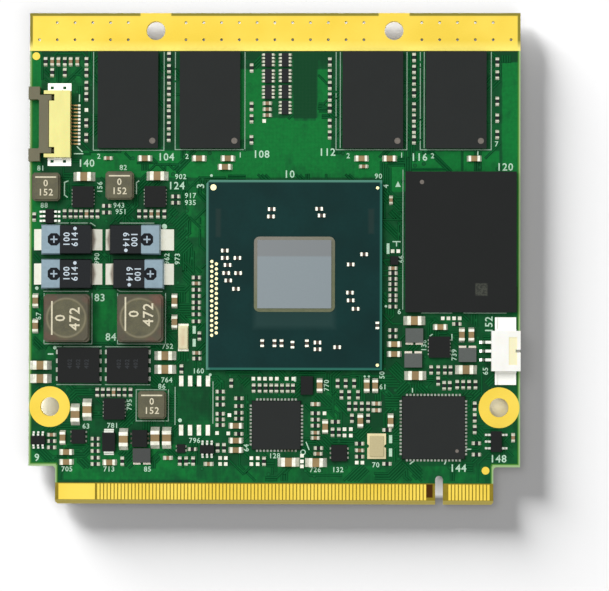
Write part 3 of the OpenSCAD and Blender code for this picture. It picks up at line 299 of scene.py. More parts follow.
def gold_plate(name, colours, rim=False):
    """Electroplated gold over copper: bright yellow, with a fine brushed haze, and on the ground strip a
    painted highlight along its lower edge.
    """
    material, tree, spot = start(name, Metallic=1.0)
    fine = grain(tree, spot, 0.35, 3.0, (1, 4, 1))
    color = blend(tree, colours.gold, colours.gold_light, grain(tree, spot, 9.0, 2.0), 0.35, 0.68)
    color = blend(tree, color, tone(colours.gold_light, 1.2), fine, 0.4, 0.8, 0.35)
    links = {}
    if rim:
        wide = add(tree, "size", add(tree, "axis", spot, out="X"))
        y = add(tree, "axis", spot, out="Y")
        beside, above = add(tree, "difference", wide, BOARD_X), add(tree, "difference", y, BOARD_Y)
        outside = add(tree, "larger", beside, above)
        edge = add(tree, "range", outside, -STRIP_MARGIN - 0.06, -STRIP_MARGIN + 0.06)
        from_hole = add(tree, "size", add(tree, "difference", wide, STRIP_HOLE_X))
        edge = add(tree, "product", edge, add(tree, "range", from_hole, *STRIP_RUN_OUT))
        color = add(tree, "mix", edge, color, "#8F8526")
        # Painted highlight: the strip turns paler yellow towards its lower edge
        color = blend(tree, color, "#FCEB7E", y, STRIP_LOW_Y + 1.3, STRIP_LOW_Y + 0.2)
        links["Metallic"] = add(tree, "range", edge, 0.0, 1.0, 1.0, 0.35)
    links["Roughness"] = add(tree, "range", fine, 0.2, 0.8, 0.62, 0.74)
    return finish(material, color, fine, 0.006, **links)


# Height over which the painted shade on the ends of chip parts fades, from dull to bright
SHADE_FADE_Z = (TOP_Z + 0.52, TOP_Z + 0.75)


def solder(name, low_top_shade=0.0):
    """Reflowed tin solder: a bright white metal with a blotched, frosted skin, with painted shade on the
    lowest parts.
    """
    material, tree, spot = start(name, Metallic=0.35)
    fine = grain(tree, spot, 0.25, 3.0)
    color = blend(tree, "#DDDFCB", "#FFFDF0", grain(tree, spot, 0.7, 2.0), 0.36, 0.62)
    # Painted shade: the flat tops of the low parts are darkened
    low = add(tree, "range", add(tree, "axis", spot, out="Z"), *SHADE_FADE_Z, low_top_shade, 0.0)
    rise = add(tree, "size", add(tree, "axis", add(tree, "ShaderNodeNewGeometry", out="Normal"), out="Z"))
    low = add(tree, "product", low, add(tree, "range", rise, 0.7, 0.95, 0.3, 1.0))
    color = add(tree, "mix", low, color, "#A3A78C")
    frost = add(tree, "range", fine, 0.3, 0.7, 0.42, 0.58)
    return finish(material, color, fine, 0.02, 0.6, Roughness=frost)


def capacitor_tin():
    """The polymer capacitors' tinned end strips, with painted shade where each goes into the unmarked end."""
    material, tree, spot = start("tin_strip_with_painted_shade", Metallic=0.15, Roughness=0.5)
    x, y = [add(tree, "axis", spot, out=axis) for axis in "XY"]
    fine = grain(tree, spot, 0.25, 3.0)
    color = add(tree, "mix", grain(tree, spot, 0.8, 2.0), "#F4F2DC", "#FFFFF4")
    for node, row, side in POLYMERS:
        low, high = box_of(node)
        away = add(tree, "size", add(tree, "difference", x, high[0] if side < 0 else low[0]))
        # The painted shade reaches furthest in the middle of the strip
        off = add(tree, "size", add(tree, "difference", y, row))
        reach = add(tree, "sum", away, add(tree, "product", off, 0.2))
        shade = add(tree, "product", add(tree, "range", reach, 0.62, 0.25), add(tree, "range", off, 1.6, 1.4))
        color = add(tree, "mix", add(tree, "product", shade, 0.8), color, "#6E5844")
    return finish(material, color, fine, 0.02, 0.6)


def tinned_metal(name, first, second, roughness):
    """Tin or nickel plating on a stamped lead."""
    material, tree, spot = start(name, Metallic=1.0, Roughness=roughness)
    fine = grain(tree, spot, 0.3, 2.0, (1, 3, 1))
    return finish(material, add(tree, "mix", fine, first, second), fine, 0.01, 0.4)


# Materials of the processor and the chips

# Width of the carrier's rim, epoxy that ran out below the die, two faint columns of laser marking, and
# the soft edge of the die's warmer side
RIM_W = 0.3
RUN_OUT = ((-2.8, -9.9), (8.6, -6.9))
LASER_COLUMNS = [((-8.3, 3.0), (-7.6, 7.0)), ((13.4, 3.5), (14.2, 7.0))]
DIE_WARM_Y = (0.1, 0.35)


def package_laminate(colours):
    """Dark blue-green build-up laminate with a smooth mask, lighter along its rim, with a painted highlight
    on the rim's left and top sides.
    """
    material, tree, spot = start("package_laminate", Roughness=0.36, Specular_IOR_Level=0.08)
    low, high = box_of("processor_substrate")
    fine = grain(tree, spot, 0.5, 2.0)
    color = mottle(tree, colours.laminate, 0.13, grain(tree, spot, 7.0, 2.0), 0.35, 0.65)
    color = blend(tree, color, tone(colours.laminate, 0.7), fine, 0.4, 0.8, 0.3)
    inner = field(tree, spot, [v + RIM_W for v in low], [v - RIM_W for v in high], 0.2)
    x, y = [add(tree, "axis", spot, out=axis) for axis in "XY"]
    # Painted highlight: the rim is lighter along the left and top sides
    lit = add(tree, "larger", add(tree, "range", x, low[0] + 2 * RIM_W, low[0] + RIM_W),
              add(tree, "range", y, high[1] - 2 * RIM_W, high[1] - RIM_W))
    color = add(tree, "mix", inner, add(tree, "mix", lit, "#2B6F60", "#568F7D"), color)
    color = add(tree, "mix", add(tree, "product", field(tree, spot, *RUN_OUT, 0.9), 0.8), color, "#24423F")
    for low, high in LASER_COLUMNS:
        column = add(tree, "product", field(tree, spot, low, high, 0.3), 0.5)
        color = add(tree, "mix", column, color, "#2A3A36")
    return finish(material, color, fine, 0.006, 0.4)


def silicon(colours):
    """Lapped back of a silicon die: a cool grey mirror with a fine haze, warmer along one side."""
    material, tree, spot = start("lapped_silicon", Roughness=0.34, IOR=2.0)
    fine = grain(tree, spot, 0.3, 3.0)
    color = mottle(tree, colours.silicon, 0.07, fine)
    color = blend(tree, color, "#565F62", add(tree, "axis", spot, out="Y"), *DIE_WARM_Y)
    return finish(material, color, fine, 0.002, 0.3)


def underfill():
    """Cured epoxy that wicked out round the die: olive, turned grey towards the upper left by a painted
    highlight.
    """
    material, tree, spot = start("underfill_epoxy", Roughness=0.3)
    x, y = [add(tree, "axis", spot, out=axis) for axis in "XY"]
    fine = grain(tree, spot, 0.8, 2.0)
    # Painted highlight: grey towards the upper left, olive towards the lower right
    across = add(tree, "difference", y, add(tree, "product", x, 0.5))
    color = blend(tree, add(tree, "mix", fine, "#6A7250", "#858868"), "#8C887C", across, -6.5, 2.5)
    return finish(material, color, fine, 0.02, 0.4)


def moulding(name, colour, roughness):
    """Silica-filled epoxy moulding compound: dark and matt, with a fine sparkle from the filler."""
    material, tree, spot = start(name, Specular_IOR_Level=0.15)
    fine = grain(tree, spot, 0.12, 3.0)
    color = mottle(tree, colour, 0.16, fine, 0.35, 0.75)
    color = blend(tree, color, tone(colour, 0.84), grain(tree, spot, 3.0, 2.0), 0.4, 0.7, 0.35)
    dull = add(tree, "range", fine, 0.3, 0.7, roughness - 0.06, roughness + 0.08)
    return finish(material, color, fine, 0.01, 0.6, Roughness=dull)


def patched(material, area, colour, low_share, high_share, soft, lump):
    """The material with a speckled patch of another colour in an area, given by its two corners."""
    tree = material.node_tree
    base = tree.nodes["Principled BSDF"].inputs["Base Color"]
    color = base.links[0].from_socket
    spot = place(tree)
    speck = add(tree, "range", grain(tree, spot, lump, 1.0), 0.45, 0.5, low_share, high_share)
    share = add(tree, "product", field(tree, spot, *area, soft), speck)
    tree.links.new(add(tree, "mix", share, color, colour), base)
    return material


# A square that a laser left in the flash chip's lower right corner
LASER_SQUARE = ((28.6, -5.3), (30.3, -3.55))


# Materials of the power parts

# The band starts a lap outside the case, so that it covers the end, and stops short of the board
BAND_W = 2.85
BAND_LAP = 0.1
BAND_EDGE = 0.04
BAND_LOW_Z = TOP_Z + 0.8


def band_ends(node, side):
    """The lower end of a capacitor's band along x, and its edge on the case, which is an end too."""
    low, high = box_of(node)
    if side < 0:
        return low[0] - BAND_LAP, low[0] - BAND_LAP + BAND_W
    return high[0] + BAND_LAP - BAND_W, high[0] + BAND_LAP - BAND_W


def capacitor_moulding(name, band_low, colours):
    """Black epoxy case with a steel-blue band printed round its positive end."""
    material, tree, spot = start(name, Roughness=0.42, Specular_IOR_Level=0.15)
    x, z = [add(tree, "axis", spot, out=axis) for axis in "XZ"]
    fine = grain(tree, spot, 0.12, 3.0)
    color = blend(tree, "#111518", "#1B1F23", fine, 0.35, 0.75)
    high = band_low + BAND_W
    inside = window(tree, x, band_low, band_low + BAND_EDGE, high, high - BAND_EDGE)
    inside = add(tree, "product", inside, add(tree, "range", z, BAND_LOW_Z, BAND_LOW_Z + BAND_EDGE))
    band = mottle(tree, colours.band, 0.16, grain(tree, spot, 0.5, 2.0))
    return finish(material, add(tree, "mix", inside, color, band), fine, 0.01)


# Distances from a large inductor's centre: the coil's raised contour, and the powder outside it
COIL_CONTOUR = (2.5, 2.7, 2.95, 2.75)
COIL_OUTSIDE = (2.75, 3.1, 5.2, 5.1)
# Side of the large inductor's rusty corner
RUST_SIDE = 1.6


def pressed_powder(colours):
    """Insulated iron powder pressed round a winding: khaki brown, with the coil's round contour."""
    material, tree, spot = start("pressed_iron_powder", Metallic=0.1)
    speck = grain(tree, spot, 0.2, 2.0)
    color = mottle(tree, colours.powder, 0.26, grain(tree, spot, 1.5, 3.0), 0.3, 0.7)
    color = blend(tree, color, tone(colours.powder, 1.75), speck, 0.45, 0.8, 0.75)
    # Round the coil the powder is darker, and it rusts a little at the corners
    flat = add(tree, "scaled", spot, (1, 1, 0))
    centres = [(*centre_of(f"large_inductor_{i}"), 0) for i in (1, 2)]
    reach = add(tree, "smaller", *[add(tree, "distance", flat, centre) for centre in centres])
    outside = window(tree, reach, *COIL_OUTSIDE)
    color = add(tree, "mix", add(tree, "product", outside, 0.5), color, "#40372A")
    contour = window(tree, reach, *COIL_CONTOUR)
    color = add(tree, "mix", add(tree, "product", contour, 0.35), color, "#A39878")
    rust = add(tree, "range", grain(tree, spot, 2.6, 1.0), 0.55, 0.7, 0.0, 0.35)
    color = add(tree, "mix", add(tree, "product", outside, rust), color, "#6B4030")
    high = box_of("large_inductor_2")[1]
    corner = field(tree, spot, (high[0] - RUST_SIDE, high[1] - RUST_SIDE), high, 1.0)
    color = add(tree, "mix", add(tree, "product", corner, 0.45), color, "#7A4636")
    dull = add(tree, "range", speck, 0.3, 0.7, 0.42, 0.62)
    return finish(material, color, add(tree, "sum", speck, contour), 0.03, 0.7, Roughness=dull)


def ferrite():
    """Ground ferrite: a warm grey with a silky surface, darker in the part at the lower left."""
    material, tree, spot = start("ground_ferrite", Roughness=0.5)
    fine = grain(tree, spot, 0.2, 3.0)
    x = add(tree, "axis", spot, out="X")
    color = blend(tree, add(tree, "mix", fine, "#444A46", "#555B57"), "#272A28", x, 0.0, -1.0, 0.8)
    return finish(material, color, fine, 0.01)


def ceramic(name, colour, roughness=0.5, gloss=0.5):
    """Fired ceramic body of a chip part."""
    material, tree, spot = start(name, Roughness=roughness, Specular_IOR_Level=gloss)
    fine = grain(tree, spot, 0.2, 2.0)
    color = mottle(tree, colour, 0.15, grain(tree, spot, 4.0, 1.0), 0.4, 0.6)
    color = blend(tree, color, tone(colour, 0.85), fine, 0.4, 0.8, 0.3)
    return finish(material, color, fine, 0.01, 0.4)


# Materials of the connectors


def nylon(name, colour, roughness=0.42, recess=None):
    """Glass-filled nylon from a polished mould: slightly waxy, and a deeper cream in a recess."""
    material, tree, spot = start(name, Subsurface_Weight=0.05, Subsurface_Scale=0.4 * MM)
    fine = grain(tree, spot, 0.15, 2.0)
    color = mottle(tree, colour, 0.05, grain(tree, spot, 1.6, 2.0, (1, 0.4, 1)), 0.3, 0.7)
    if recess:
        color = add(tree, "mix", field(tree, spot, *recess, 0.1), color, "#F8F2C8")
    dull = add(tree, "range", fine, 0.3, 0.7, roughness - 0.05, roughness + 0.08)
    return finish(material, color, fine, 0.008, 0.4, Roughness=dull)


def header_recess():
    """The corners of the shallow recess in the header's roof."""
    right, y = box_of("header_housing")[1][0], centre_of("header_housing")[1]
    return (right - 1.66, y - 1.95), (right - 0.5, y + 1.95)


def ink(name, colour):
    """Screen-printed epoxy ink: opaque and slightly rough."""
    material, tree, spot = start(name, Roughness=0.55, Specular_IOR_Level=0.1)
    fine = grain(tree, spot, 0.2, 2.0)
    return finish(material, mottle(tree, colour, 0.14, fine, 0.3, 0.7), fine, 0.01, 0.4)


# Printing and other thin pieces

# Strokes that cross stand at levels this far apart
STROKE_STEP = 0.002
# A square's corners, anticlockwise
SQUARE = ((-1, -1), (1, -1), (1, 1), (-1, 1))


# A font's size is this many times the height of its digits
FONT_SIZE = 1.42


def put(name, data):
    """A new object in the scene."""
    thing = bpy.data.objects.new(name, data)
    bpy.context.scene.collection.objects.link(thing)
    return thing


def around(x, y, diameter, sides):
    """Points on a circle, anticlockwise."""
    angles = [2 * math.pi * i / sides for i in range(sides)]
    return [(x + diameter / 2 * math.cos(a), y + diameter / 2 * math.sin(a)) for a in angles]


class Sheet:
    """Collects flat raised shapes, in millimetres, and makes one closed mesh of them."""

    def __init__(self, z, height, under=False):
        self.mesh = bmesh.new()
        self.z = z
        self.height = height
        self.under = under
        self.strokes = 0

    def outline(self, points, z=None):
        """A prism over the outline, which runs anticlockwise."""
        base = self.z if z is None else z
        low = [self.mesh.verts.new((x * MM, y * MM, base * MM)) for x, y in points]
        high = [self.mesh.verts.new((x * MM, y * MM, (base + self.height) * MM)) for x, y in points]
        self.mesh.faces.new(list(reversed(low)))
        self.mesh.faces.new(high)
        for i in range(len(points)):
            j = (i + 1) % len(points)
            self.mesh.faces.new((low[i], low[j], high[j], high[i]))

    def bar(self, x, y, width, length, angle=0.0, z=None):
        """A rectangle about its centre."""
        c, s = math.cos(math.radians(angle)), math.sin(math.radians(angle))
        ends = [(u * width / 2, v * length / 2) for u, v in SQUARE]
        self.outline([(x + c * u - s * v, y + s * u + c * v) for u, v in ends], z)

    def line(self, start, end, width):
        """A straight stroke with square ends. Strokes that cross don't share a face."""
        self.strokes += 1
        dx, dy = end[0] - start[0], end[1] - start[1]
        length = math.hypot(dx, dy) + width
        z = self.z + STROKE_STEP * (self.strokes % 4)
        x, y = (start[0] + end[0]) / 2, (start[1] + end[1]) / 2
        self.bar(x, y, length, width, math.degrees(math.atan2(dy, dx)), z)

    def path(self, points, width):
        """Strokes from point to point."""
        for first, second in zip(points, points[1:]):
            self.line(first, second, width)

    def disc(self, x, y, diameter, z=None):
        """A round dot."""
        self.outline(around(x, y, diameter, 20), z)

    def ring(self, x, y, diameter, width):
        """A round outline, drawn as short strokes."""
        points = around(x, y, diameter, 16)
        self.path(points + points[:1], width)

    def word(self, text, x, y, size, angle=0.0, z=None):
        """Plain digits about their centre, with size as the height of a digit."""
        curve = bpy.data.curves.new("digits", "FONT")
        curve.body = text
        curve.size = size * FONT_SIZE * MM
        curve.align_x = "CENTER"
        curve.align_y = "CENTER"
        curve.extrude = self.height / 2 * MM
        curve.resolution_u = 2
        curve.offset = size * 0.02 * MM
        curve.space_character = 1.1
        holder = put("digits", curve)
        graph = bpy.context.evaluated_depsgraph_get()
        flat = bpy.data.meshes.new_from_object(holder.evaluated_get(graph))
        base = self.z if z is None else z
        turn = Matrix.Rotation(math.radians(angle), 4, "Z")
        flat.transform(Matrix.Translation((x * MM, y * MM, (base + self.height / 2) * MM)) @ turn)
        self.mesh.from_mesh(flat)
        bpy.data.objects.remove(holder)
        bpy.data.meshes.remove(flat)
        bpy.data.curves.remove(curve)

    def finish(self, name, material):
        """Makes the piece, turned over if it is on the underside."""
        if self.under:
            self.mesh.transform(Matrix.Rotation(math.pi, 4, "Y"))
        data = bpy.data.meshes.new(name)
        self.mesh.to_mesh(data)
        self.mesh.free()
        data.materials.append(material)
        piece = put(name, data)
        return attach(piece, BODY)


def dress(material, *nodes):
    """Gives CAD nodes a material."""
    for name in nodes:
        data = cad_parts[name].data
        data.materials.clear()
        data.materials.append(material)


# Tracks and vias stay this far from the outline, and off the areas below: [low corner, high corner]
OUTLINE_MARGIN = 0.7
PLAIN_AREAS = [
    ((-35, 1.5), (-33.3, 29.5)), ((32.2, -4), (35, 28)), ((-3.2, 15), (8.2, 20)), ((2.5, 19.3), (6.3, 29.5)),
    ((-5.3, 16.8), (-1.2, 27.2)), ((-11, 11.9), (15, 15)), ((-26, -12), (-22.4, -4.5)),
    ((-13.8, -23.5), (-9, -18.5)), ((-30, -31.6), (-12, -29.9)), ((21, -35), (25.2, -29.8)),
    ((-35, -35), (-30.6, -29)), ((30.6, -35), (35, -29)), ((-34.9, -14.5), (-31.2, -13)),
    ((-24, -3.5), (-13, -1.2)),
]
UNDER_PLAIN_AREAS = [((-25.2, -35), (-21, -29.8))]


# Metres from which a face is probed, and by which a hit may miss its level
PROBE_FROM = 0.02
SAME_LEVEL = 0.000005


class Face:
    """One face of the board, for testing whether a spot on it is free. Seen from its own side."""

    def __init__(self, under):
        merged = bmesh.new()
        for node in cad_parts.values():
            merged.from_mesh(node.data)
        self.cover = BVHTree.FromBMesh(merged)
        merged.free()
        self.side = -1 if under else 1
        self.level = (BOTTOM_Z if under else TOP_Z) * MM
        self.plain = UNDER_PLAIN_AREAS if under else PLAIN_AREAS

    def is_free(self, x, y, reach):
        """True if the bare board shows at the spot and all round it."""
        if abs(x) > BOARD_X - OUTLINE_MARGIN or y < MASK_LOW_Y + 0.4:
            return False
        if abs(x) > TONGUE_X - OUTLINE_MARGIN and y < SHOULDER_Y + OUTLINE_MARGIN:
            return False
        if any(low[0] < x < high[0] and low[1] < y < high[1] for low, high in self.plain):
            return False
        for u, v in [(x, y)] + around(x, y, 2 * reach, 8):
            above = Vector((self.side * u * MM, v * MM, self.side * PROBE_FROM))
            hit = self.cover.ray_cast(above, Vector((0, 0, -self.side)))[0]
            if hit is None or abs(hit.z - self.level) > SAME_LEVEL:
                return False
        return True


# Geometry Nodes trees


def begin_tree(name, sizes):
    """A tree and its inputs: the piece it is on, named sizes and the material."""
    tree = bpy.data.node_groups.new(name, "GeometryNodeTree")
    kinds = {"Geometry": "NodeSocketGeometry", **dict.fromkeys(sizes, "NodeSocketFloat")}
    kinds["Material"] = "NodeSocketMaterial"
    for key, kind in kinds.items():
        tree.interface.new_socket(key, in_out="INPUT", socket_type=kind)
    tree.interface.new_socket("Geometry", in_out="OUTPUT", socket_type="NodeSocketGeometry")
    return tree, {key: add(tree, "NodeGroupInput", out=key) for key in kinds}


def end_tree(tree, shapes, material):
    """Ends a tree in one plain mesh that has its material."""
    inputs = {"Geometry": add(tree, "GeometryNodeRealizeInstances", shapes), "Material": material}
    add(tree, "NodeGroupOutput", add(tree, "GeometryNodeSetMaterial", named=inputs))
    return tree


def repeat_tree(name, build):
    """A tree that puts one small shape on each point of the piece it is on. build makes the shape."""
    tree, source = begin_tree(name, ("Size", "Height"))
    shape = build(tree, source["Size"], source["Height"])
    points = add(tree, "GeometryNodeMeshToPoints", source["Geometry"])
    copies = add(tree, "GeometryNodeInstanceOnPoints", named={"Points": points, "Instance": shape})
    return end_tree(tree, copies, source["Material"])


def stroke_tree(name):
    """A tree that makes a flat bar along each edge of the piece it is on."""
    tree, source = begin_tree(name, ("Width", "Height"))
    run = add(tree, "GeometryNodeMeshToCurve", source["Geometry"])
    run = add(tree, "GeometryNodeSetCurveNormal", run, mode="Z_UP")
    inputs = {"Width": source["Width"], "Height": source["Height"]}
    section = add(tree, "GeometryNodeCurvePrimitiveQuadrilateral", named=inputs)
    inputs = {"Curve": run, "Profile Curve": section, "Fill Caps": True}
    return end_tree(tree, add(tree, "GeometryNodeCurveToMesh", named=inputs), source["Material"])


def via_shape(tree, size, height):
    """A low ring with a hollow middle: the mask sags into the hole."""
    radius = add(tree, "product", size, 0.5)
    top = add(tree, "product", radius, 0.8)
    inputs = {"Vertices": 12, "Radius Top": top, "Radius Bottom": radius, "Depth": height}
    dome = add(tree, "GeometryNodeMeshCone", named=inputs)
    deep = add(tree, "product", height, 3.0)
    inputs = {"Vertices": 10, "Radius": add(tree, "product", radius, 0.42), "Depth": deep}
    hole = add(tree, "GeometryNodeMeshCylinder", named=inputs)
    inputs = {"Mesh 1": dome, "Mesh 2": hole}
    return add(tree, "GeometryNodeMeshBoolean", named=inputs, operation="DIFFERENCE")


def disc_shape(tree, size, height):
    """A flat disc."""
    inputs = {"Vertices": 12, "Radius": add(tree, "product", size, 0.5), "Depth": height}
    return add(tree, "GeometryNodeMeshCylinder", named=inputs)


def run_tree(name, points, tree, edges=(), **values):
    """Runs a tree on points in millimetres, or on edges between them, and keeps the result as a mesh."""
    seeds = bpy.data.meshes.new(name + "_points")
    seeds.from_pydata([(x * MM, y * MM, z * MM) for x, y, z in points], edges, [])
    holder = put(name + "_points", seeds)
    modifier = holder.modifiers.new("Repeat", "NODES")
    modifier.node_group = tree
    for item in tree.interface.items_tree:
        if item.in_out == "INPUT" and item.name in values:
            modifier[item.identifier] = values[item.name]
    graph = bpy.context.evaluated_depsgraph_get()
    data = bpy.data.meshes.new_from_object(holder.evaluated_get(graph))
    holder.modifiers.remove(modifier)
    bpy.data.objects.remove(holder)
    bpy.data.meshes.remove(seeds)
    data.name = name
    piece = put(name, data)
    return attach(piece, BODY)


# Settings


def length_setting(name, default, low, high, description):
    """A length in a settings group, given in millimetres and kept in metres."""
    return bpy.props.FloatProperty(
        name=name, description=description, default=default * MM, min=low * MM, max=high * MM,
        precision=5, subtype="DISTANCE", unit="LENGTH")


def colour_setting(name, code, description):
    """A colour in a settings group."""
    return bpy.props.FloatVectorProperty(
        name=name, description=description, default=linear(code), size=4, min=0, max=1, subtype="COLOR")


class ModuleColours(bpy.types.PropertyGroup):
    mask_deep: colour_setting("Deep mask", "#104627", "Solder mask over bare laminate")
    mask: colour_setting("Mask", "#10592E", "Solder mask over tracks")
    mask_bright: colour_setting("Bright mask", "#117A36", "Solder mask over solid copper")
    gold: colour_setting("Gold", "#F1D555", "Gold plating, where it is deeper")
    gold_light: colour_setting("Light gold", "#F9E068", "Gold plating, where it is lighter")
    laminate: colour_setting("Laminate", "#08312F", "The processor's carrier")
    silicon: colour_setting("Silicon", "#65767D", "The processor's die")
    moulding: colour_setting("Moulding", "#262928", "Moulding compound of the memory chips")
    powder: colour_setting("Powder", "#535037", "Pressed powder of the inductors")
    band: colour_setting("Band", "#92A9B5", "Band on the polymer capacitors")
    tan: colour_setting("Tan", "#94794A", "Body of the larger ceramic capacitors")
    cream: colour_setting("Cream", "#F3EB90", "Housing of the flat-cable socket")
    brown: colour_setting("Brown", "#696549", "Lock bar of the flat-cable socket")
    white: colour_setting("White", "#FDFCF4", "Housing of the wire header")
    ink: colour_setting("Ink", "#C2E4CB", "Printing on the board")


class ModulePrint(bpy.types.PropertyGroup):
    line: length_setting("Line", 0.15, 0.08, 0.4, "Width of a printed line")
    digit: length_setting("Digit", 1.05, 0.5, 2, "Height of the larger digits")
    small_digit: length_setting("Small digit", 0.72, 0.4, 1.5, "Height of the smaller digits")
    thickness: length_setting("Ink", 0.02, 0.005, 0.1, "Thickness of the ink")


class ModuleCopper(bpy.types.PropertyGroup):
    via: length_setting("Via", 0.42, 0.3, 0.9, "Diameter of a via's pad")
    track: length_setting("Track", 0.16, 0.1, 0.4, "Width of a track")
    gap: length_setting("Gap", 0.1, 0.08, 0.3, "Clear width beside copper")
    thickness: length_setting("Thickness", 0.02, 0.01, 0.1, "Height of copper under the mask")
    vias: bpy.props.IntProperty(
        name="Vias", description="Vias that are tried on each face", default=700, min=0, max=4000)
    tracks: bpy.props.IntProperty(
        name="Tracks", description="Bundles of tracks that are tried on each face", default=600, min=0,
        max=4000)
    seed: bpy.props.IntProperty(name="Seed", description="Seed of the copper's places", default=7)


class ModuleStage(bpy.types.PropertyGroup):
    world: bpy.props.FloatProperty(
        name="World", description="Strength of the light from all round", default=0.62, min=0, max=3)
    key: bpy.props.FloatProperty(
        name="Key", description="Strength of the lamp at the upper left", default=1.3, min=0, max=5)
    softness: bpy.props.FloatProperty(
        name="Softness", description="Width of the lamp as an angle", default=math.radians(28), min=0, max=3,
        subtype="ANGLE", unit="ROTATION")
    floor_lamps: bpy.props.FloatProperty(
        name="Floor lamps", description="Strength of the lamps for the floor's shadow", default=98, min=0,
        max=200)
    distance: length_setting("Distance", 500, 200, 3000, "How far away the camera stands")


# Operators


class MODULE_OT_finish_board(bpy.types.Operator):
    """Finish the laminate, its copper and its pads"""
    bl_idname = "module.finish_board"
    bl_label = "Finish board"

    def execute(self, context):
        colours = context.scene.module_colours
        dress(solder_mask(colours), "circuit_board")
        dress(gold_plate("gold_strip_plate", colours, rim=True), "ground_strip_top", "ground_strip_bottom")
        gold = gold_plate("gold_plate", colours)
        dress(gold, "edge_contacts_top", "edge_contacts_bottom", "plated_holes", "fiducials")
        dress(tinned_metal("pale_gold", "#F3E9A0", "#FFF9D0", 0.45), "processor_test_lands")
        dress(solder("reflowed_solder"), "bare_pads")
        # The ends of chip parts get painted shade on their lowest flat tops
        ends = solder("solder_on_chip_ends", 0.55)
        dress(ends, "chip_end_caps", "underside_bulk_caps", "underside_small_caps")
        return {"FINISHED"}


class MODULE_OT_finish_chips(bpy.types.Operator):
    """Finish the processor, the memory and the controllers"""
    bl_idname = "module.finish_chips"
    bl_label = "Finish chips"

    def execute(self, context):
        colours = context.scene.module_colours
        dress(package_laminate(colours), "processor_substrate")
        dress(silicon(colours), "processor_die")
        dress(underfill(), "processor_underfill")
        dress(moulding("memory_moulding", colours.moulding, 0.6), *[f"memory_chip_{i}" for i in range(1, 5)])
        flash = moulding("flash_moulding", tone(colours.moulding, 0.56), 0.55)
        dress(patched(flash, LASER_SQUARE, "#4A4D44", 0.35, 0.8, 0.15, 0.28), "flash_chip")
        controllers = moulding("controller_moulding", tone(colours.moulding, 0.95), 0.55)
        dress(controllers, "large_controller", "small_controller")
        packages = moulding("package_moulding", tone(colours.moulding, 0.46), 0.5)
        dress(packages, "regulators", "small_packages", "power_stage_1", "power_stage_2")
        dress(ceramic("carrier_laminate", "#355333", 0.45), "chip_carriers")
        leads = tinned_metal("tin_leads", "#B4B9B0", "#DDDFD4", 0.4)
        dress(leads, "controller_leads", "small_package_leads")
        dress(tinned_metal("dull_tin_leads", "#8A8F85", "#B4B8AC", 0.5), "power_stage_leads")
        dress(tinned_metal("solder_balls", "#B4B8BA", "#DADCDC", 0.35), "processor_balls", "chip_balls")
        return {"FINISHED"}


class MODULE_OT_finish_power(bpy.types.Operator):
    """Finish the inductors and the polymer capacitors"""
    bl_idname = "module.finish_power"
    bl_label = "Finish power parts"

    def execute(self, context):
        colours = context.scene.module_colours
        for node, _, side in POLYMERS:
            name = node.replace("polymer_capacitor", "capacitor_moulding")
            dress(capacitor_moulding(name, band_ends(node, side)[0], colours), node)
        dress(capacitor_tin(), "polymer_terminals")
        dress(pressed_powder(colours), "large_inductor_1", "large_inductor_2", "small_inductors")
        dress(ferrite(), "chip_inductors")
        copper = tinned_metal("tinned_copper", "#C4B8A4", "#E6E2D6", 0.4)
        dress(copper, "inductor_terminals", "chip_inductor_terminals")
        return {"FINISHED"}


class MODULE_OT_finish_connectors(bpy.types.Operator):
    """Finish the flat-cable socket and the wire header"""
    bl_idname = "module.finish_connectors"
    bl_label = "Finish connectors"

    def execute(self, context):
        colours = context.scene.module_colours
        dress(nylon("cream_nylon", colours.cream), "socket_housing")
        dress(nylon("brown_nylon", colours.brown, 0.5), "socket_lock_bar")
        dress(nylon("white_nylon", colours.white, recess=header_recess()), "header_housing")
        dress(tinned_metal("contact_bronze", "#8E7246", "#B39967", 0.45), "socket_contacts")
        dress(tinned_metal("tinned_pins", "#D8DAD2", "#F6F7F0", 0.34), "header_pins")
        dress(tinned_metal("matt_tin", "#F2F2EA", "#FFFFFA", 0.55), "connector_anchor_tabs")
        return {"FINISHED"}


class MODULE_OT_finish_small_parts(bpy.types.Operator):
    """Finish the resistors, the ceramic capacitors and the crystals"""
    bl_idname = "module.finish_small_parts"
    bl_label = "Finish small parts"

    def execute(self, context):
        tan = context.scene.module_colours.tan
        dress(ceramic("resistor_glaze", "#1B1E20", 0.4, 0.15), "chip_resistors", "resistor_arrays")
        dress(ceramic("tan_ceramic", tan), "large_chip_capacitors", "underside_bulk_capacitors")
        dress(ceramic("brown_ceramic", "#8E6E4A"), "chip_capacitors", "underside_small_capacitors")
        dress(ceramic("package_ceramic", "#4B3B2B"), "processor_capacitors")
        dress(tinned_metal("package_solder", "#F6F4DC", "#FFFFF4", 0.45), "processor_capacitor_caps")
        dress(ceramic("crystal_ceramic", "#E8DBAB", 0.45), "crystal_base")
        dress(tinned_metal("crystal_lid", "#AFA47E", "#C3B891", 0.55), "crystal_can")
        lid = ceramic("watch_crystal_lid", "#F3ECC0", 0.4)
        low, high = box_of("watch_crystal")
        inner = [v + 0.4 for v in low], [v - 0.4 for v in high]
        dress(patched(lid, inner, "#D2AC84", 0.3, 0.5, 0.5, 0.5), "watch_crystal")
        return {"FINISHED"}


# Squares of a grid that keep one bundle of tracks off another
CELL = 0.35
# Where bundles start, the steps in which a track is tried, its clear reach and its shortest stretch
TRACK_AREA = ((-34, 34), (-31.5, 29.2))
TRACK_STEP = 0.2
TRACK_REACH = 0.14
SHORTEST_TRACK = 0.5
EIGHTH = math.pi / 4


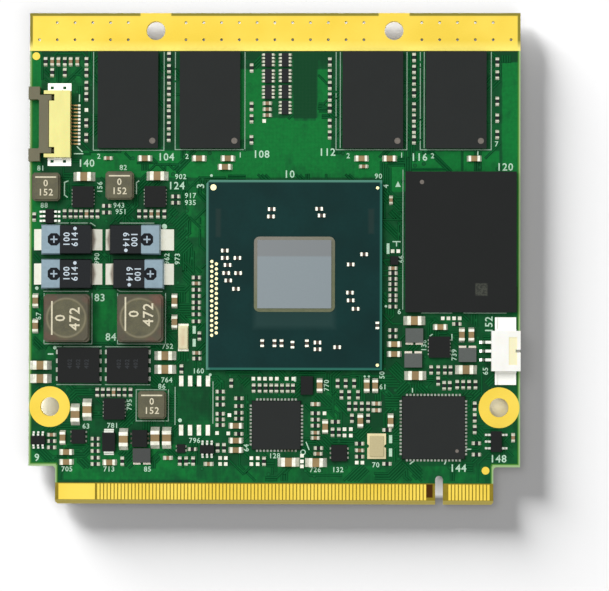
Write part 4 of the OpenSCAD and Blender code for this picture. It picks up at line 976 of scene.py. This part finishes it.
class MODULE_OT_add_tracks(bpy.types.Operator):
    """Run bundles of masked tracks over the free parts of both faces"""
    bl_idname = "module.add_tracks"
    bl_label = "Add tracks"

    def execute(self, context):
        settings = context.scene.module_copper
        colours = context.scene.module_colours
        over = masked_copper("mask_over_tracks", tone(colours.mask, 1.15))
        beside = masked_copper("mask_over_gaps", tone(colours.mask, 0.8))
        tree = stroke_tree("track_bars")
        width, pitch = settings.track, settings.track + 2 * settings.gap
        draw = random.Random(settings.seed)
        for under in (False, True):
            side = "lower" if under else "upper"
            runs = self.lay(Face(under), draw, settings, pitch / MM)
            self.add_bars(f"{side}_masked_tracks", runs, tree, under, width, settings.thickness, over)
            self.add_bars(f"{side}_track_gaps", runs, tree, under, pitch, settings.thickness / 2, beside)
        return {"FINISHED"}

    def add_bars(self, name, runs, tree, under, width, height, material):
        """Bars along the runs, half a width longer at each end. Bars that cross don't share a face."""
        side, level = (-1, -BOTTOM_Z) if under else (1, TOP_Z)
        points = []
        for i, (first, second) in enumerate(runs):
            ahead = (second - first).normalized() * width / 2 / MM
            z = level + STROKE_STEP * ((i + 1) % 4) + height / 2 / MM
            points += [(side * p.x, p.y, side * z) for p in (first - ahead, second + ahead)]
        edges = [(i, i + 1) for i in range(0, len(points), 2)]
        run_tree(name, points, tree, edges, Width=width, Height=height, Material=material)

    def lay(self, face, draw, settings, pitch):
        """The runs of one face's tracks, as pairs of points seen from that side."""
        laid = []
        taken = set()
        for _ in range(settings.tracks):
            corner = Vector([draw.uniform(*span) for span in TRACK_AREA])
            heading = draw.randrange(8)
            legs = []
            for _ in range(draw.randint(1, 3)):
                legs.append((heading, draw.uniform(0.8, 4.5)))
                heading += draw.choice((-1, 1))
            used = set()
            for lane in range(draw.choice((1, 1, 2, 3, 4, 5))):
                found = self.runs(face, taken, corner, legs, lane * pitch)
                laid += found
                for first, second in found:
                    used |= self.cells(first, second)
            taken |= used
        return laid

    def runs(self, face, taken, corner, legs, offset):
        """The free stretches of one lane, as pairs of points."""
        found = []
        point = corner.copy()
        for i, (heading, length) in enumerate(legs):
            ahead = Vector((math.cos(heading * EIGHTH), math.sin(heading * EIGHTH)))
            aside = Vector((-ahead.y, ahead.x)) * offset
            # Lanes meet on the bisector of a bend
            turn = math.tan(EIGHTH / 2) * offset
            trim = [0.0, 0.0]
            if i > 0:
                trim[0] = turn * (1 if legs[i - 1][0] < heading else -1)
            if i + 1 < len(legs):
                trim[1] = turn * (1 if heading < legs[i + 1][0] else -1)
            first = None
            count = max(1, round((length - trim[0] - trim[1]) / TRACK_STEP))
            for k in range(count + 1):
                spot = point + aside + ahead * (trim[0] + k * TRACK_STEP)
                clear = self.cell(spot) not in taken and face.is_free(spot.x, spot.y, TRACK_REACH)
                if clear and first is None:
                    first = spot
                if first is not None and (not clear or k == count):
                    last = spot if clear else spot - ahead * TRACK_STEP
                    if (last - first).length > SHORTEST_TRACK:
                        found.append((first, last))
                    first = None
            point = point + ahead * length
        return found

    def cell(self, spot):
        """The square of the grid that a spot is in."""
        return (math.floor(spot[0] / CELL), math.floor(spot[1] / CELL))

    def cells(self, first, second):
        """The squares of the grid that a stretch passes."""
        count = max(1, round((second - first).length / CELL * 2))
        return {self.cell(first.lerp(second, k / count)) for k in range(count + 1)}


# Where vias are tried, the grid that they keep to, and their least spacing along one axis
VIA_AREA = ((-33.5, 33.5), (-31, 29))
VIA_GRID = 0.25
VIA_SPACING = 0.7
VIA_CLEARANCE = 0.15
# Vias in rows under the processor: [low corner, high corner], and their spacing
FIELD_CORNERS = ((-14.5, -14.0), (9.0, 9.0))
FIELD_PITCH = 1.0


class MODULE_OT_add_vias(bpy.types.Operator):
    """Add the masked vias, wherever either face of the board is free"""
    bl_idname = "module.add_vias"
    bl_label = "Add vias"

    def execute(self, context):
        settings = context.scene.module_copper
        colours = context.scene.module_colours
        draw = random.Random(settings.seed)
        # Vias stand a little higher than the tracks that they meet, and above the gap round them
        pads = {"Size": settings.via, "Height": settings.thickness * 1.4}
        pads["Material"] = masked_copper("mask_over_vias", tone(colours.mask, 1.3))
        gaps = {"Size": settings.via + 1.6 * settings.gap, "Height": settings.thickness * 1.3}
        gaps["Material"] = masked_copper("mask_round_vias", tone(colours.mask, 0.72))
        rings, discs = repeat_tree("via_pads", via_shape), repeat_tree("via_discs", disc_shape)
        for under in (False, True):
            side = "lower" if under else "upper"
            spots = self.spots(Face(under), draw, settings)
            if under:
                spots = [(-x, y, BOTTOM_Z) for x, y, _ in spots]
            run_tree(f"{side}_masked_vias", spots, rings, **pads)
            run_tree(f"{side}_via_gaps", spots, discs, **gaps)
        return {"FINISHED"}

    def spots(self, face, draw, settings):
        """Free places for vias: scattered, and in rows on the underside."""
        places = []
        if face.side < 0:
            low, high = FIELD_CORNERS
            across = range(int((high[0] - low[0]) / FIELD_PITCH) + 1)
            along = range(int((high[1] - low[1]) / FIELD_PITCH) + 1)
            places += [(low[0] + i * FIELD_PITCH, low[1] + j * FIELD_PITCH) for i in across for j in along]
        for _ in range(settings.vias):
            places.append([round(draw.uniform(*span) / VIA_GRID) * VIA_GRID for span in VIA_AREA])
        chosen = []
        for x, y in places:
            apart = all(abs(x - p[0]) > VIA_SPACING or abs(y - p[1]) > VIA_SPACING for p in chosen)
            if apart and face.is_free(x, y, settings.via / MM / 2 + VIA_CLEARANCE):
                chosen.append((x, y, TOP_Z))
        return chosen


# Fine frames round the larger parts, each a run of points
THIN_LINES = [
    ((-25.9, 29.4), (-25.9, 15.4), (-15.8, 15.4), (-15.8, 29.4)),
    ((-14.2, 29.4), (-14.2, 15.5), (-4.25, 15.5), (-4.25, 29.4)), ((9.35, 29.4), (9.35, 15.8)),
    ((8.75, 29.4), (8.75, 15.5), (18.85, 15.5), (18.85, 29.4)), ((21.3, 29.4), (21.3, 15.8)),
    ((20.75, 29.4), (20.75, 15.5), (30.85, 15.5), (30.85, 29.4)),
    ((18.3, 12.6), (18.3, -7.2)), ((21, -7.75), (25.3, -7.75)), ((27, -7.75), (33, -7.75)),
    ((-32.85, -12.2), (-32.85, -5.05)), ((-26, -5.05), (-26, -12.2)), ((-22.35, -12.2), (-22.35, -5.05)),
    ((-15.5, -5.05), (-15.5, -12.2)), ((-32.85, -12.25), (-26, -12.25)), ((-22.35, -12.25), (-15.5, -12.25)),
    ((-31, -12.65), (-24.7, -12.65)), ((-31, -18.05), (-24.7, -18.05)),
    ((-24.05, -12.65), (-17.7, -12.65)), ((-24.05, -18.05), (-17.7, -18.05)),
    ((-31.2, 5), (-26.2, 5), (-25.6, 4.6)), ((-22, 5), (-17.2, 5)),
    ((-32.9, -4.75), (-26.5, -4.75)), ((-22.4, -4.5), (-22, -4.75), (-16, -4.75)),
    ((-14.1, -18.4), (-14.1, -23.7)), ((-8.7, -17.6), (-8.7, -23.5)),
    ((-19.65, -18.75), (-15.05, -18.75), (-15.05, -23.2), (-19.65, -23.2), (-19.65, -18.75)),
]
# Short strokes beside smaller parts, each a run of points
SHORT_LINES = [
    ((-29.5, 11), (-30, 10.8), (-30, 9), (-29.6, 8.7)), ((-19.4, 11), (-19.7, 10.8), (-19.7, 9.2)),
    ((-27.9, 23.3), (-27.9, 22.4)), ((-28.2, 15.9), (-27.5, 15.2)), ((-28.6, 14.9), (-27.4, 14.9)),
    ((-25.3, -19.2), (-25, -19.6)), ((19.4, -29.2), (19.9, -28.8)), ((24.3, -29.2), (24.5, -28.7)),
    ((19.7, -19), (19.7, -18.5)), ((22.2, -11), (22.5, -10.8)), ((25.3, -10.8), (25.3, -11.6)),
    ((4.6, -26.2), (5, -27.2)), ((27.4, -27.1), (28, -27.1)), ((16.9, 2.4), (17.9, 2.4)),
    ((17.4, 2.4), (17.4, 1.8)),
]
# Marks: [x, y, diameter]
DOTS = [
    (-31.3, -12.8, 0.5), (-13.4, -23.1, 0.55), (-15.7, 4.5, 0.75), (-33.9, -4.3, 0.5),
    (16.9, -6.9, 0.35), (-9.0, 11.8, 0.4), (-9.1, -16.6, 0.4), (12.9, -16.8, 0.3), (13.5, -16.8, 0.3),
    (15.9, -6.8, 0.35),
]
# Bars: [x, y, width, length]
BARS = [
    (-11.4, -10.2, 0.45, 1.1), (-11.4, -12.05, 0.45, 1.1), (16.6, -25.7, 0.45, 1.15),
    (16.6, -27.6, 0.45, 1.15), (16.2, 1.4, 0.4, 1.5), (-31.9, -13.7, 0.8, 0.2), (3.0, -17.2, 0.3, 0.7),
    (-12.2, -29.2, 0.6, 0.18), (-22.3, -4.1, 0.3, 0.3), (28.95, 15.0, 0.18, 0.6),
]
# Plain numbers: [text, x, y, size class, angle]
NUMBERS = [
    ("104", -15.5, 14.4, 1, 0), ("108", -1.9, 14.8, 1, 0), ("112", 7.5, 15.1, 1, 0),
    ("116", 20.6, 14.4, 1, 0), ("120", 32.8, 13.0, 1, 0), ("10", 2.1, 11.95, 1, 0),
    ("140", -26.9, 13.5, 1, 0), ("82", -21.6, 12.9, 0, 0), ("81", -33.4, 12.8, 0, 0),
    ("902", -13.4, 11.6, 0, 0), ("124", -14.0, 10.3, 1, 0), ("917", -12.0, 8.9, 0, 0),
    ("935", -12.0, 7.9, 0, 0), ("943", -22.2, 7.5, 0, 0), ("951", -21.9, 6.6, 0, 0),
    ("88", -32.9, 7.5, 0, 0), ("83", -24.9, -5.7, 1, 0), ("84", -23.3, -11.3, 1, 0),
    ("962", -15.3, -0.1, 0, 90), ("973", -13.8, -0.1, 0, 90), ("990", -25.3, -0.1, 0, 90),
    ("9", -33.8, -28.5, 1, 0), ("705", -29.5, -30.1, 0, 0), ("713", -23.5, -30.1, 0, 0),
    ("85", -18, -30.1, 0, 0), ("128", 0.1, -28.15, 0, 0), ("726", 5.9, -30.1, 0, 0),
    ("132", 9.1, -30.1, 0, 0), ("70", 14.5, -29.4, 0, 0), ("144", 26.2, -29.85, 1, 0),
    ("148", 31.9, -28.5, 1, 0), ("152", 30.6, -9.4, 1, 90), ("136", 21.35, -12.4, 0, 90),
    ("739", 25.65, -13.7, 0, 90), ("156", -24.9, 10.1, 0, 90), ("160", -10.8, -16.1, 0, 0),
    ("752", -15.2, -12.6, 0, 0), ("764", -15.3, -17.4, 0, 0), ("86", -16.0, -18.3, 0, 0),
    ("2", -25.1, 14.5, 0, 0), ("2", -12.5, 14.5, 0, 0), ("2", 10.5, 14.6, 0, 0),
    ("2", 22.5, 14.6, 0, 0), ("1", -4.9, 14.7, 0, 0), ("1", 18.1, 14.7, 0, 0), ("7", 31.6, 16.3, 0, 0),
    ("3", -10.5, 10.3, 1, 90), ("4", 15.9, 10.3, 0, 90), ("90", 14.8, 11.7, 0, 0),
    ("50", 15.4, -16.6, 0, 90), ("61", 15.5, -18.3, 0, 0), ("770", 7.5, -18.1, 0, 90),
    ("63", -26.8, -24.0, 0, 0), ("781", -23.0, -23.9, 0, 0), ("795", -20.6, -20.9, 0, 90),
    ("796", -11.3, -26.0, 0, 0), ("64", -3.9, -27.0, 0, 90), ("65", 30.1, -16.0, 0, 90),
    ("6", 17.8, -7.6, 0, 0), ("66", 18.1, -0.1, 0, 90), ("67", -33.6, -8.3, 0, 90),
    ("68", -14.3, -9.0, 0, 90),
]
# A pin mark's corners, and a ring's centre, diameter and width
TRIANGLE = [(17.2, 10.2), (18.0, 10.2), (17.6, 11.0)]
RING = (4.15, -27.6, 0.65, 0.13)
# Underside print: frames as runs of points and plain numbers, seen from below with x to the right
UNDER_LINES = [
    ((-12, -10), (-12, 5.2), (6.3, 5.2), (6.3, -10), (-12, -10)),
    ((-30, -29), (-22, -29)), ((22, -29), (30, -29)),
]
UNDER_NUMBERS = [
    ("201", 27, -13.2, 0, 0), ("202", 27, 6.8, 0, 0), ("203", -24, -11.2, 0, 0),
    ("204", -25, 9.8, 0, 0), ("205", 9.2, 11.2, 0, 0), ("206", -13, 11.2, 0, 0),
    ("207", 9.2, -16.4, 0, 0), ("208", -12, -16.4, 0, 0), ("20", -3, 6.4, 1, 0),
    ("1", -31, -27.6, 1, 0), ("2", 31, -27.6, 1, 0), ("300", 0, 25, 1, 0),
]


class MODULE_OT_add_board_print(bpy.types.Operator):
    """Print the frames, the pin marks and plain numbers on the board"""
    bl_idname = "module.add_board_print"
    bl_label = "Print board"

    def execute(self, context):
        settings = context.scene.module_print
        line, thickness = settings.line / MM, settings.thickness / MM
        sizes = (settings.small_digit / MM, settings.digit / MM)
        colours = context.scene.module_colours
        board_ink = ink("board_ink", colours.ink)
        thin = Sheet(TOP_Z, thickness * 1.3)
        for points in THIN_LINES:
            thin.path(points, line * 0.8)
        thin.finish("thin_print", ink("worn_board_ink", tone(colours.ink, 0.65)))
        upper = Sheet(TOP_Z, thickness * 1.6)
        for points in SHORT_LINES:
            upper.path(points, line)
        for x, y, diameter in DOTS:
            upper.disc(x, y, diameter)
        for x, y, width, length in BARS:
            upper.bar(x, y, width, length)
        upper.outline(TRIANGLE)
        upper.ring(*RING)
        for text, x, y, large, angle in NUMBERS:
            upper.word(text, x, y, sizes[large], angle)
        upper.finish("board_print", board_ink)
        lower = Sheet(-BOTTOM_Z, thickness * 1.6, under=True)
        for points in UNDER_LINES:
            lower.path(points, line)
        for text, x, y, large, angle in UNDER_NUMBERS:
            lower.word(text, x, y, sizes[large], angle)
        lower.finish("underside_print", board_ink)
        return {"FINISHED"}


# Thickness of the print on the parts and of a laser's marks
PRINT_H = 0.02
MARK_H = 0.006
# How deep the dimples of the memory and flash chips lie
DIMPLE_DEPTH = 0.058
# The dark field round a capacitor's plus sign: its width, its cut corners and its centre past the band
PLUS_FIELD = 1.75
PLUS_CUT = 0.45
PLUS_PAST = 0.85
# Columns of digits on a capacitor: how far from the band's edge, and the digits
DIGIT_COLUMNS = ((1.0, "100"), (2.15, "614"))


class MODULE_OT_add_part_print(bpy.types.Operator):
    """Print the capacitors, the inductors and the chips"""
    bl_idname = "module.add_part_print"
    bl_label = "Print parts"

    def execute(self, context):
        self.print_capacitors()
        self.print_inductors()
        self.print_chips()
        return {"FINISHED"}

    def print_capacitors(self):
        """A dark field with a light plus sign, and two columns of digits."""
        dark = Sheet(POLYMER_Z + 0.001, 0.012)
        plus = Sheet(POLYMER_Z + 0.002, PRINT_H)
        light = Sheet(POLYMER_Z + 0.002, PRINT_H)
        far = PLUS_FIELD / 2
        near = far - PLUS_CUT
        half = [(-near, -far), (near, -far), (far, -near), (far, near)]
        eight = half + [(-u, -v) for u, v in half]
        for node, y, side in POLYMERS:
            band_edge = band_ends(node, side)[1]
            x = band_edge + side * PLUS_PAST
            dark.outline([(x + u, y + v) for u, v in eight])
            plus.bar(x, y, 1.0, 0.2)
            plus.bar(x, y, 0.2, 1.0, z=POLYMER_Z + 0.004)
            turn = 90 if side < 0 else -90
            for column, text in DIGIT_COLUMNS:
                light.word(text, band_edge - side * column, y, 0.9, turn)
            # A dot stands at the end of the last column
            light.disc(band_edge - side * column, y - side * 1.55, 0.5)
        dark.finish("capacitor_dark_print", ink("dark_print", "#161A1F"))
        plus.finish("capacitor_plus_print", ink("grey_blue_print", "#A9BAC6"))
        light.finish("capacitor_light_print", ink("pale_blue_print", "#CEDCE6"))

    def print_inductors(self):
        """A bar along one side and digits, in cream."""
        cream = Sheet(CHOKE_Z, PRINT_H)
        for i, rise in ((1, 0.0), (2, 0.6)):
            x, y = centre_of(f"large_inductor_{i}")
            y += rise
            cream.bar(x - 2.05, y, 0.22, 4.8)
            cream.word("0", x - 0.8, y, 1.4, 90)
            cream.word("472", x + 1.25, y - 0.1, 1.45, 90)
        for x, y in SMALL_CHOKES:
            cream.bar(x, y + 1.35, 3.0, 0.2, z=SMALL_CHOKE_Z)
            cream.word("0", x, y + 0.45, 0.95, z=SMALL_CHOKE_Z)
            cream.word("152", x, y - 0.85, 0.95, z=SMALL_CHOKE_Z)
        cream.finish("inductor_print", ink("cream_print", "#E0D8BC"))

    def print_chips(self):
        """Pin marks, and faint rows that a laser left."""
        marks = Sheet(MEMORY_Z, MARK_H)
        dimple_z = MEMORY_Z - DIMPLE_DEPTH
        for i in range(1, 5):
            (_, low, _), (right, _, _) = box_of(f"memory_chip_{i}")
            marks.disc(right - 0.8, low + 1.05, 0.88, dimple_z)
        (left, _, _), (_, high, _) = box_of("flash_chip")
        marks.disc(left + 2.35, high - 1.5, 0.63, dimple_z)
        (_, low, _), (right, _, top) = box_of("large_controller")
        marks.disc(right - 1.15, low + 1.2, 0.5, top)
        marks.finish("chip_marks", ink("laser_mark", "#7A736C"))
        rows = Sheet(STAGE_Z, MARK_H)
        for i in (1, 2):
            x, y = centre_of(f"power_stage_{i}")
            for column in (-1.2, 0.0, 1.2):
                rows.word("402", x + column, y + 0.2, 0.6, 90)
        rows.finish("stage_marks", ink("faint_laser_mark", "#3A3D40"))


# Half the floor's side in metres, and how far it lies below the part in mm
FLOOR_SIDE = 3.0
FLOOR_GAP = 0.02
# The photograph's view: size of a pixel, the point under its centre in mm, and the camera's turn in degrees
PHOTO_WIDTH = 609
PIXELS_PER_MM = 7.021
AIM = (4.31, -5.29, TOP_Z)
CAMERA_TURN = (1.15, 1.44, 0.13)
KEY_DIRECTION = (-0.32, 0.3, 1.0)
# The floor's own lamps: where they stand, their share of the strength and their width in degrees. The low
# one throws the board's shadow far to the lower right, and the high one shades the floor at the upper left.
FLOOR_LAMPS = {
    "low_floor_lamp": ((-5.0, 6.0, 0.96), 1.0, 28),
    "high_floor_lamp": ((1.0, -1.0, 1.4), 0.04, 60),
}
# The floor is a grey that these lamps bring up to white outside the shadow
FLOOR_COLOUR = "#737373"
FLOOR_BOUNCE = "#5F5F5F"
# Painted light on the floor under the lower holes and the key notch: patches painted paler than the shadow,
# two corners and a colour each, with soft edges
PATCH_EDGE = 0.6
PAINTED_LIGHT_PATCHES = (
    ((-33.6, -22.8), (-30.4, -19.6), "#8F8D80"),
    ((30.4, -22.8), (33.6, -19.6), "#D9D6C0"),
    ((22.6, -33.9), (24.4, -30.4), "#F2F2F2"),
)


class MODULE_OT_set_stage(bpy.types.Operator):
    """Set the floor, the light and the camera"""
    bl_idname = "module.set_stage"
    bl_label = "Set stage"

    def execute(self, context):
        settings = context.scene.module_stage
        floor = self.add_floor()
        self.add_light(context.scene, settings)
        self.add_floor_lamps(settings, floor)
        self.add_camera(context.scene, settings)
        context.scene.view_settings.view_transform = "Standard"
        return {"FINISHED"}

    def add_floor(self):
        """A sheet of paper that holds the shadow. It throws back less light than its look suggests."""
        data = bpy.data.meshes.new("floor")
        z = CAD_BOUNDS[0][2] - FLOOR_GAP * MM
        data.from_pydata([(FLOOR_SIDE * u, FLOOR_SIDE * v, z) for u, v in SQUARE], [], [(0, 1, 2, 3)])
        floor = put("floor", data)
        material = bpy.data.materials.new("studio_paper")
        material.use_nodes = True
        tree = material.node_tree
        plain = tree.nodes["Principled BSDF"]
        looks = {"Base Color": linear(FLOOR_BOUNCE), "Roughness": 0.9, "Specular IOR Level": 0.0}
        for key, value in looks.items():
            plain.inputs[key].default_value = value
        kinds = ("Camera", "Glossy", "Transmission")
        camera, glossy, through = [add(tree, "ShaderNodeLightPath", out=f"Is {kind} Ray") for kind in kinds]
        seen = add(tree, "larger", camera, add(tree, "larger", glossy, through))
        spot = place(tree)
        color = FLOOR_COLOUR
        # Patches of painted light, paler than the shadow, under the lower holes and the key notch
        for low, high, paper in PAINTED_LIGHT_PATCHES:
            color = add(tree, "mix", field(tree, spot, low, high, PATCH_EDGE), color, paper)
        bright = add(tree, "ShaderNodeBsdfDiffuse", color)
        both = add(tree, "ShaderNodeMixShader", seen, plain.outputs[0], bright)
        tree.links.new(both, tree.nodes["Material Output"].inputs["Surface"])
        data.materials.append(material)
        return floor

    def add_light(self, scene, settings):
        """An even white surround and a broad lamp high at the upper left."""
        world = bpy.data.worlds.new("studio")
        world.use_nodes = True
        background = world.node_tree.nodes["Background"]
        background.inputs["Color"].default_value = linear("#FFFFFF")
        background.inputs["Strength"].default_value = settings.world
        scene.world = world
        self.add_sun("key", KEY_DIRECTION, settings.key, settings.softness)

    def add_sun(self, name, direction, strength, width):
        """A lamp that shines from one side, with its width as an angle."""
        lamp = bpy.data.lights.new(name, "SUN")
        lamp.energy = strength
        lamp.angle = width
        sun = put(name, lamp)
        sun.rotation_euler = Vector(direction).to_track_quat("Z", "Y").to_euler()
        return sun

    def add_floor_lamps(self, settings, floor):
        """Lamps that only the floor sees and only the board shades, for the wide soft shadow."""
        lit = bpy.data.collections.new("lit_floor")
        lit.objects.link(floor)
        shading = bpy.data.collections.new("shading_board")
        shading.objects.link(bpy.data.objects["circuit_board"])
        for name, (direction, share, width) in FLOOR_LAMPS.items():
            sun = self.add_sun(name, direction, settings.floor_lamps * share, math.radians(width))
            sun.light_linking.receiver_collection = lit
            sun.light_linking.blocker_collection = shading

    def add_camera(self, scene, settings):
        """The photograph's own view: nearly straight down, from far away."""
        turn = Euler([math.radians(a) for a in CAMERA_TURN])
        lens = bpy.data.cameras.new("camera")
        lens.sensor_fit = "HORIZONTAL"
        lens.lens = lens.sensor_width * PIXELS_PER_MM * settings.distance / MM / PHOTO_WIDTH
        lens.clip_start = 0.01
        camera = put("camera", lens)
        camera.rotation_euler = turn
        camera.location = Vector(AIM) * MM + turn.to_matrix() @ Vector((0, 0, settings.distance))
        scene.camera = camera


class MODULE_PT_looks(bpy.types.Panel):
    """Lists the sizes and the steps"""
    bl_label = "System on module"
    bl_idname = "MODULE_PT_looks"
    bl_space_type = "VIEW_3D"
    bl_region_type = "UI"
    bl_category = "Module"

    def draw(self, context):
        for name in GROUPS:
            group = getattr(context.scene, name)
            box = self.layout.box()
            for key in group.bl_rna.properties.keys():
                if key not in ("name", "rna_type"):
                    box.prop(group, key)
        for step in STEPS:
            self.layout.operator(step.bl_idname)


GROUPS = {
    "module_colours": ModuleColours, "module_print": ModulePrint, "module_copper": ModuleCopper,
    "module_stage": ModuleStage,
}
STEPS = (
    MODULE_OT_finish_board, MODULE_OT_finish_chips, MODULE_OT_finish_power, MODULE_OT_finish_connectors,
    MODULE_OT_finish_small_parts, MODULE_OT_add_tracks, MODULE_OT_add_vias, MODULE_OT_add_board_print,
    MODULE_OT_add_part_print, MODULE_OT_set_stage,
)


def register():
    """Adds the settings, the steps and the panel to Blender."""
    for group in GROUPS.values():
        bpy.utils.register_class(group)
    for name, group in GROUPS.items():
        setattr(bpy.types.Scene, name, bpy.props.PointerProperty(type=group))
    for step in STEPS:
        bpy.utils.register_class(step)
    bpy.utils.register_class(MODULE_PT_looks)


def unregister():
    """Takes them out again."""
    bpy.utils.unregister_class(MODULE_PT_looks)
    for step in reversed(STEPS):
        bpy.utils.unregister_class(step)
    for name, group in GROUPS.items():
        delattr(bpy.types.Scene, name)
        bpy.utils.unregister_class(group)


def main():
    """Runs every step."""
    register()
    for step in STEPS:
        family, name = step.bl_idname.split(".")
        getattr(getattr(bpy.ops, family), name)()


if __name__ == "__main__":
    main()
